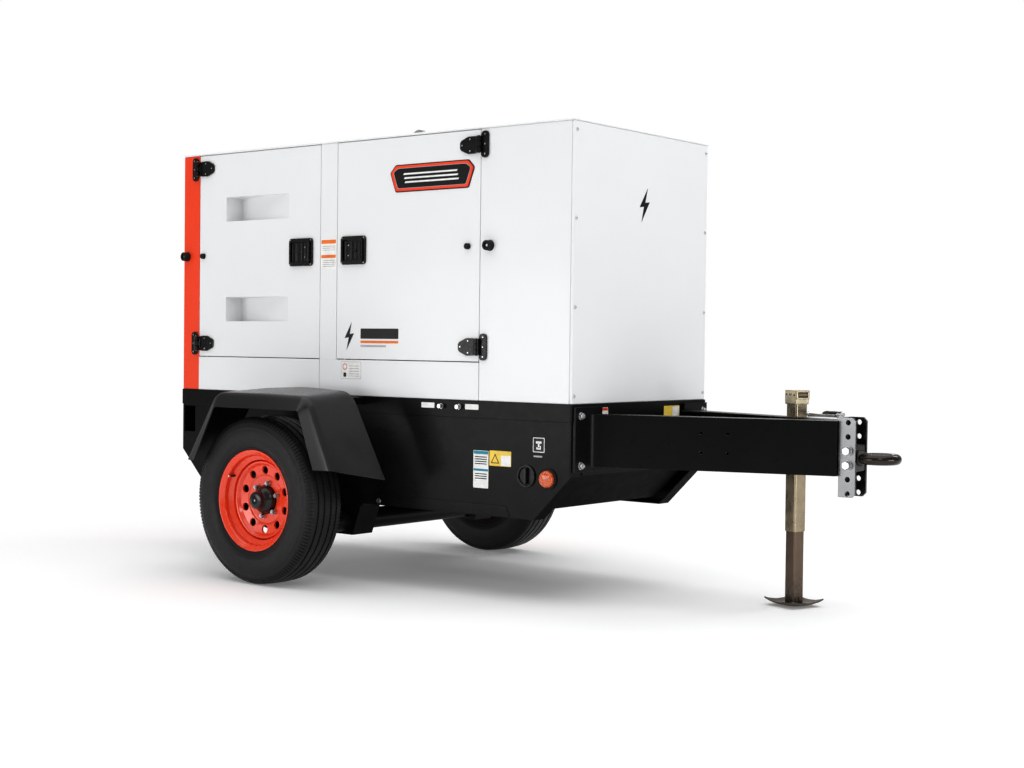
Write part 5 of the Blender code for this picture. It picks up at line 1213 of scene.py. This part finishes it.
def arms_and_axle():
    axle = Form("axle_beam_formed", BLACK).copy_of("axle_beam", BLACK, 0.0012, 1)
    low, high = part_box("axle_beam")
    middle_z = low.z + 0.0555 + 0.0
    for name, side in SIDES:
        for dx in (-0.085, 0.085):
            x = (low.x + high.x) / 2 + dx
            axle.hexagon((x, side * 0.400, low.z + 0.118), (x, side * 0.400, low.z + 0.130), 0.024, BRIGHT, 0.0015)
        rounded_copy(f"torsion_arm_{name}", BLACK, f"arm_{name}", 0.0020, 2, "black_paint")
    axle.done("trailer", "black_paint", replaces=["axle_beam"])


def fender(name, side):
    """Mudguard: one folded sheet with rounded bends, and a flared skirt along its outer edge."""
    rows = [
        [(-0.318, 0.496), (-0.197, 0.723), (0.050, 0.723), (0.299, 0.723), (0.388, 0.493)],
        [(-0.388, 0.494), (-0.203, 0.783), (0.060, 0.783), (0.319, 0.780), (0.441, 0.491)],
        [(-0.436, 0.452), (-0.211, 0.7945), (0.068, 0.8080), (0.343, 0.7955), (0.533, 0.4505)],
    ]
    spread = ([0.864] * 5, [0.842, 0.841, 0.832, 0.822, 0.8155], [0.606] * 5)
    radii = (0.010, 0.040, 0.060)
    lines = [
        smooth_line([at(x, side * y, z) for (x, z), y in zip(row, across)], radius, 6)
        for row, across, radius in zip(rows, spread, radii)
    ]
    across = []
    for skirt, fold, inner in zip(*lines):
        first, last = skirt.lerp(fold, 0.72), fold.lerp(inner, 0.075)
        strip = [skirt.lerp(fold, t) for t in (0.0, 0.25, 0.5, 0.72)]
        strip += [first * (1 - t) ** 2 + fold * 2 * t * (1 - t) + last * t ** 2 for t in (0.2, 0.4, 0.6, 0.8)]
        strip += [fold.lerp(inner, t) for t in (0.075, 0.2, 0.4, 0.6, 0.8, 1.0)]
        across.append(strip)
    dense = []
    for a, b in zip(across, across[1:]):
        parts = max(1, int((a[-1] - b[-1]).length / 0.03))
        dense += [[p.lerp(q, k / parts) for p, q in zip(a, b)] for k in range(parts)]
    dense.append(across[-1])
    form = Form(f"fender_{name}_formed", GUARD)
    grid = [[form.bm.verts.new(p) for p in strip] for strip in dense]
    for first, second in zip(grid, grid[1:]):
        for k in range(len(first) - 1):
            form.bm.faces.new((first[k], first[k + 1], second[k + 1], second[k]))
    bmesh.ops.recalc_face_normals(form.bm, faces=form.bm.faces)
    form.bm.normal_update()
    if grid[len(grid) // 2][-2].normal.z < 0:
        bmesh.ops.reverse_faces(form.bm, faces=form.bm.faces)
        form.bm.normal_update()
    lower = {v: form.bm.verts.new(v.co - v.normal * FENDER_SHEET) for v in list(form.bm.verts)}
    for face in list(form.bm.faces):
        form.bm.faces.new([lower[v] for v in reversed(face.verts)])
    for edge in [e for e in form.bm.edges if len(e.link_faces) == 1 and all(v in lower for v in e.verts)]:
        a, b = edge.verts
        form.bm.faces.new((a, b, lower[b], lower[a]))
    form._add(list(form.bm.verts), GUARD)
    for x in (-0.12, 0.26):
        form.box(at(x - 0.019, side * (FACE_Y + 0.0035), 0.738), at(x + 0.019, side * 0.628, 0.7700), BLACK, 0.003)
        form.box(at(x - 0.019, side * 0.600, 0.738), at(x + 0.019, side * 0.628, 0.7960), BLACK, 0.003)
    form.done("trailer", "black_paint", replaces=[f"fender_{name}"])


# ------------------------------------------------------------------------- inside the enclosure

def engine():
    low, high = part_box("engine_block")
    form = Form("engine_block_formed", ENGINE_PAINT).copy_of("engine_block", ENGINE_PAINT, 0.004, 2)
    for i in range(4):
        x = 0.115 + i * 0.128
        form.box(at(x - 0.042, -0.150, 0.955), at(x + 0.042, -0.143, 1.270), ENGINE_PAINT, 0.003)
        form.box(at(x - 0.042, 0.143, 0.955), at(x + 0.042, 0.150, 1.270), ENGINE_PAINT, 0.003)
        form.rod(at(x, 0.030, 1.448), at(x, 0.030, 1.475), 0.014, BRIGHT, sides=20)
        form.sweep(smooth_line([at(x, 0.030, 1.470), at(x, 0.080, 1.490), at(x, 0.128, 1.460), at(x + 0.01, 0.160, 1.300),
                                at(0.10 + i * 0.03, 0.170, 1.180)], 0.03, 4), 0.0032, BRIGHT, 8)
        form.hexagon(at(x, -0.112, 1.400), at(x, -0.120, 1.400), 0.019, BRIGHT)
    form.box(at(0.060, 0.140, 1.080), at(0.260, 0.200, 1.190), CAST, 0.008)
    form.rod(at(0.36, 0.150, 1.03), at(0.36, 0.205, 1.03), 0.046, LABEL_WHITE, sides=36, edge=0.006, segments=2)
    form.rod(at(0.50, -0.150, 1.00), at(0.50, -0.205, 1.00), 0.046, LABEL_ORANGE, sides=36, edge=0.006, segments=2)
    form.box(at(0.080, -0.165, 1.240), at(0.560, -0.108, 1.300), CAST, 0.010)
    form.done("trailer", "cast_metal", replaces=["engine_block"])
    belt = Form("engine_pulleys", CAST)
    for y, z, r in ((0.0, 0.985, 0.070), (0.0, 1.200, 0.055), (0.115, 1.130, 0.034)):
        profile = [(0.0, 0.018), (r, 0.018), (r, 0.014), (r - 0.008, 0.010), (r, 0.006), (r, 0.002), (0.0, 0.002)]
        belt.turned(profile, at(0.600, y, z), (1, 0, 0), CAST, 40)
    belt.done("trailer", "cast_metal")


def alternator():
    form = Form("alternator_formed", CAST).copy_of("alternator", CAST, 0.003, 2)
    for i in range(26):
        angle = math.tau * i / 26
        if -0.82 < math.sin(angle):
            turn = Matrix.Translation(at(0, 0, 1.06)) @ Matrix.Rotation(angle, 4, "X")
            form.box((-0.480, 0.194, -0.004), (-0.110, 0.209, 0.004), CAST, 0.002, matrix=turn)
    form.box(at(-0.42, -0.11, 1.250), at(-0.16, 0.11, 1.330), CAST, 0.006)
    form.done("trailer", "cast_metal", replaces=["alternator"])


def cooling():
    fan = Form("cooling_fan_formed", MATTE_PLASTIC)
    joint = {j["name"]: j for j in frame["joints"]}["cooling_fan_spin"]
    centre = Vector(joint["pos_m"])
    low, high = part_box("cooling_fan")
    fan.rod((low.x, centre.y, centre.z), (high.x, centre.y, centre.z), 0.0495, MATTE_PLASTIC, sides=36, edge=0.004, segments=2)
    for i in range(6):
        angle = math.tau * i / 6
        rows = []
        for k in range(7):
            r = 0.040 + (0.222 - 0.040) * k / 6
            pitch = math.radians(46 - 20 * k / 6)
            half = 0.034 + 0.010 * math.sin(math.pi * k / 6)
            rows.append([(half * math.sin(pitch) * c, half * math.cos(pitch) * c, r) for c in (-1.0, -0.5, 0.0, 0.5, 1.0)])
        turn = Matrix.Translation(centre) @ Matrix.Rotation(angle, 4, "X")
        upper = [[fan.bm.verts.new(turn @ Vector((x + 0.0025 + 0.004 * (1 - (j - 2) ** 2 / 4), y, z))) for j, (x, y, z) in enumerate(row)] for row in rows]
        lower = [[fan.bm.verts.new(turn @ Vector((x - 0.0005 + 0.004 * (1 - (j - 2) ** 2 / 4), y, z))) for j, (x, y, z) in enumerate(row)] for row in rows]
        for a in range(6):
            for b in range(4):
                fan.bm.faces.new((upper[a][b], upper[a][b + 1], upper[a + 1][b + 1], upper[a + 1][b]))
                fan.bm.faces.new((lower[a][b], lower[a + 1][b], lower[a + 1][b + 1], lower[a][b + 1]))
        edge = [(0, b) for b in range(5)] + [(a, 4) for a in range(1, 7)] + [(6, b) for b in range(3, -1, -1)] + [(a, 0) for a in range(5, 0, -1)]
        for (a, b), (c, d) in zip(edge, edge[1:] + edge[:1]):
            fan.bm.faces.new((upper[a][b], lower[a][b], lower[c][d], upper[c][d]))
    fan._add(list(fan.bm.verts), MATTE_PLASTIC)
    fan.done("cooling_fan", "black_plastic", replaces=["cooling_fan"])
    radiator = Form("radiator_formed", BLACK).copy_of("radiator", BLACK, 0.002, 1)
    low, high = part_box("radiator")
    radiator.box((high.x - 0.001, -0.300, 0.900), (high.x + 0.001, 0.300, 1.540), CORE, 0.0)
    radiator.done("trailer", "radiator_alloy", replaces=["radiator"])


def fittings_inside():
    paint("muffler", FOIL)
    rounded_copy("muffler", FOIL, "trailer", 0.0, 1, "stainless")
    low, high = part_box("battery")
    battery = Form("battery_formed", MATTE_PLASTIC)
    battery.box(low, (high.x, high.y, high.z - 0.012), MATTE_PLASTIC, 0.006, 3)
    battery.box((low.x + 0.006, low.y + 0.006, high.z - 0.022), (high.x - 0.006, high.y - 0.006, high.z - 0.004), MATTE_PLASTIC, 0.003)
    for x, cap in ((low.x + 0.04, LABEL_RED), (high.x - 0.04, LABEL_BLACK)):
        battery.rod((x, high.y - 0.04, high.z - 0.006), (x, high.y - 0.04, high.z), 0.012, cap, sides=20)
    battery.done("trailer", "black_plastic", replaces=["battery"])
    low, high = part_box("air_filter")
    air = Form("air_filter_formed", MATTE_PLASTIC).copy_of("air_filter", MATTE_PLASTIC, 0.003, 2)
    y, z = 0.20, 1.58
    for x in (low.x + 0.02, low.x + 0.08, high.x - 0.03):
        air.turned([(0.0815, 0.006), (0.0835, 0.003), (0.0835, -0.003), (0.0815, -0.006), (0.079, 0.0)], (x, y, z), (1, 0, 0),
                   MATTE_PLASTIC, 40, closed=True)
    air.sweep(smooth_line([(low.x + 0.02, y, z), (low.x - 0.07, y, z), (low.x - 0.10, y - 0.06, z - 0.10), (low.x - 0.06, y - 0.10, z - 0.17)],
                          0.05, 6), 0.034, RUBBER, 20)
    air.done("trailer", "black_plastic", replaces=["air_filter"])
    cap = Form("fuel_cap_formed", MATTE_PLASTIC)
    low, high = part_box("fuel_cap")
    centre = (low + high) / 2
    cap.turned([(0.0, 0.0150), (0.030, 0.0150), (0.0370, 0.0115), (0.0385, 0.0080), (0.0385, -0.0150), (0.0, -0.0155)],
               centre, (0, 0, 1), MATTE_PLASTIC, 40)
    for i in range(12):
        angle = math.tau * i / 12
        turn = Matrix.Translation(centre) @ Matrix.Rotation(angle, 4, "Z")
        cap.box((0.0370, -0.0035, -0.0145), (0.0400, 0.0035, 0.0085), MATTE_PLASTIC, 0.001, 1, turn)
    cap.done("fuel_filler_cap", "black_plastic", replaces=["fuel_cap"])


def controls():
    """Control box with its face plate, screen, gauges, sockets, stop button and breaker; lug box below."""
    low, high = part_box("control_box")
    face = at(REAR_X + 0.030, 0, 0).x
    box = Form("control_box_formed", GREY_PLASTIC).copy_of("control_box", GREY_PLASTIC, 0.003, 2)
    box.plate(rounded((-0.325, 1.300), (0.325, 1.730), 0.008), "X", face - 0.0015, face - 0.0002, BLACK,
              holes=[circle((-0.25, 1.39), 0.0225, 32)[::-1]])
    box.box((face - 0.0060, -0.130, 1.540), (face - 0.001, 0.070, 1.690), MATTE_PLASTIC, 0.004)
    box.box((face - 0.0068, -0.105, 1.585), (face - 0.0055, 0.045, 1.672), LABEL_GREY, 0.0008)
    for i in range(5):
        box.rod((face - 0.006, -0.095 + 0.032 * i, 1.562), (face - 0.0085, -0.095 + 0.032 * i, 1.562), 0.0085,
                (LABEL_GREY, LABEL_GREY, LABEL_YELLOW, LABEL_BLACK, LABEL_RED)[i], sides=20, edge=0.001)
    for y in (0.140, 0.220):
        box.rod((face - 0.001, y, 1.640), (face - 0.010, y, 1.640), 0.031, PLASTIC, sides=36, edge=0.003, segments=2)
        box.rod((face - 0.0095, y, 1.640), (face - 0.0108, y, 1.640), 0.025, LABEL_WHITE, sides=36, edge=0.0002)
        needle = Matrix.Translation((face - 0.0112, y, 1.640)) @ Matrix.Rotation(math.radians(35), 4, "X")
        box.box((-0.0004, -0.001, 0.0), (0.0004, 0.001, 0.020), LABEL_RED, 0.0, matrix=needle)
    for i in range(3):
        box.rod((face - 0.001, -0.10 + 0.09 * i, 1.385), (face - 0.009, -0.10 + 0.09 * i, 1.385), 0.030, PLASTIC, sides=32, edge=0.003)
        box.rod((face - 0.0085, -0.10 + 0.09 * i, 1.385), (face - 0.0098, -0.10 + 0.09 * i, 1.385), 0.021, LABEL_BLUE, sides=32, edge=0.0004)
    box.plate(rounded((0.215, 1.350), (0.285, 1.450), 0.006), "X", face - 0.004, face - 0.001, MATTE_PLASTIC, radius=0.0008,
              holes=[rounded((0.233, 1.388), (0.267, 1.412), 0.003)[::-1]])
    box.done("trailer", "grey_plastic", replaces=["control_box"])
    low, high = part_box("emergency_stop")
    stop = Form("emergency_stop_formed", RED_PLASTIC)
    y, z = (low.y + high.y) / 2, (low.z + high.z) / 2
    stop.turned([(0.0, 0.0), (0.0120, 0.0008), (0.0180, 0.0030), (0.0198, 0.0065), (0.0190, 0.0100), (0.0120, 0.0120),
                 (0.0110, high.x - low.x), (0.0, high.x - low.x)], (low.x, y, z), (1, 0, 0), RED_PLASTIC, 40)
    stop.done("stop_button", "red_plastic", replaces=["emergency_stop"])
    low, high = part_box("breaker_lever")
    lever = Form("breaker_lever_formed", MATTE_PLASTIC).copy_of("breaker_lever", MATTE_PLASTIC, 0.0010, 2)
    lever.done("main_breaker", "black_plastic", replaces=["breaker_lever"])
    low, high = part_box("terminal_box")
    lugs = Form("terminal_box_formed", GREY_PLASTIC).copy_of("terminal_box", GREY_PLASTIC, 0.003, 2)
    for i, colour in enumerate((LABEL_BLACK, LABEL_RED, LABEL_BLUE, LABEL_WHITE, LABEL_YELLOW)):
        y = -0.24 + 0.12 * i
        lugs.rod((face - 0.001, y, 1.03), (face - 0.014, y, 1.03), 0.030, colour, sides=36, edge=0.003, segments=2)
        lugs.rod((face - 0.012, y, 1.03), (face - 0.024, y, 1.03), 0.009, BRIGHT, sides=20)
        lugs.hexagon((face - 0.014, y, 1.03), (face - 0.020, y, 1.03), 0.024, BRIGHT)
    lugs.done("trailer", "grey_plastic", replaces=["terminal_box"])


# ------------------------------------------------------------------------- stage

def stage():
    floor = Form("floor", floor_material())
    floor.plate(circle((0.0, 0.0), 9.0, 128), "Z", -0.02, 0.0, floor.materials[0])
    mesh = bpy.data.meshes.new("floor")
    floor.bm.to_mesh(mesh)
    floor.bm.free()
    mesh.materials.append(floor.materials[0])
    ground = bpy.data.objects.new("floor", mesh)
    bpy.context.scene.collection.objects.link(ground)
    world = bpy.data.worlds.new("studio")
    bpy.context.scene.world = world
    world.use_nodes = True
    background = world.node_tree.nodes["Background"]
    background.inputs[0].default_value = (1.0, 1.0, 1.0, 1.0)
    path = world.node_tree.nodes.new("ShaderNodeLightPath")
    level = world.node_tree.nodes.new("ShaderNodeMapRange")
    level.inputs["To Min"].default_value = STUDIO_LEVEL
    level.inputs["To Max"].default_value = 1.0
    world.node_tree.links.new(path.outputs["Is Camera Ray"], level.inputs["Value"])
    world.node_tree.links.new(level.outputs[0], background.inputs[1])

    def lamp(name, place, target, size, power, colour=(1, 1, 1)):
        data = bpy.data.lights.new(name, "AREA")
        data.shape = "RECTANGLE"
        data.size, data.size_y = size
        data.energy = power
        data.color = colour
        obj = bpy.data.objects.new(name, data)
        bpy.context.scene.collection.objects.link(obj)
        obj.location = place
        obj.rotation_euler = (Vector(target) - Vector(place)).to_track_quat("-Z", "Y").to_euler()

    lamp("top", (0.2, -0.4, 5.0), (0.2, -0.4, 0.0), (8.5, 7.5), 290)
    lamp("key", (-2.8, -6.2, 0.8), (-0.9, 0.0, 0.45), (4.6, 1.6), 92)
    lamp("front", (6.6, -0.2, 0.7), (0.5, 0.0, 0.4), (3.0, 1.4), 78, (0.96, 0.98, 1.0))
    lamp("skirt", (3.95, -4.8, 3.35), (0.36, -0.84, 0.62), (1.1, 1.1), 28)
    lamp("edge", (2.6, 4.4, 4.3), (0.4, -0.70, 0.6), (1.6, 1.6), 50)
    lamp("back", (-3.0, 6.0, 3.4), (0.0, 0.0, 0.9), (4.0, 2.4), 50)
    scene = bpy.context.scene
    scene.view_settings.view_transform = "Standard"
    scene.view_settings.gamma = 0.85
    camera = bpy.data.objects.new("camera", bpy.data.cameras.new("camera"))
    scene.collection.objects.link(camera)
    camera.data.sensor_width = 36.0
    camera.data.lens = 55.69
    camera.data.clip_end = 200.0
    yaw, pitch, roll = (math.radians(a) for a in (128.500, -1.460, 0.676))
    forward = Vector((math.cos(yaw) * math.cos(pitch), math.sin(yaw) * math.cos(pitch), math.sin(pitch)))
    right = Vector((math.sin(yaw), -math.cos(yaw), 0.0))
    up = right.cross(forward)
    across = right * math.cos(roll) + up * math.sin(roll)
    above = up * math.cos(roll) - right * math.sin(roll)
    turn = Matrix((across, above, -forward)).transposed().to_4x4()
    camera.matrix_world = Matrix.Translation(at(4.8332, -5.2094, 0.9968)) @ turn
    scene.camera = camera


stage()
for side_name, side_sign in SIDES:
    side_panels(side_name, side_sign)
    for end_name in ("rear", "front"):
        door(end_name, side_name, side_sign)
        latch(end_name, side_name, side_sign)
        for level_name in ("lower", "upper"):
            hinge(end_name, side_name, side_sign, level_name)
    bumpers(side_name, side_sign)
    tyre(side_name, side_sign)
    rim(side_name, side_sign)
    hub(side_name, side_sign)
    fender(side_name, side_sign)
front_panel()
labels()
rear_end()
roof()
base()
drawbar()
coupler()
jack()
arms_and_axle()
engine()
alternator()
cooling()
fittings_inside()
controls()
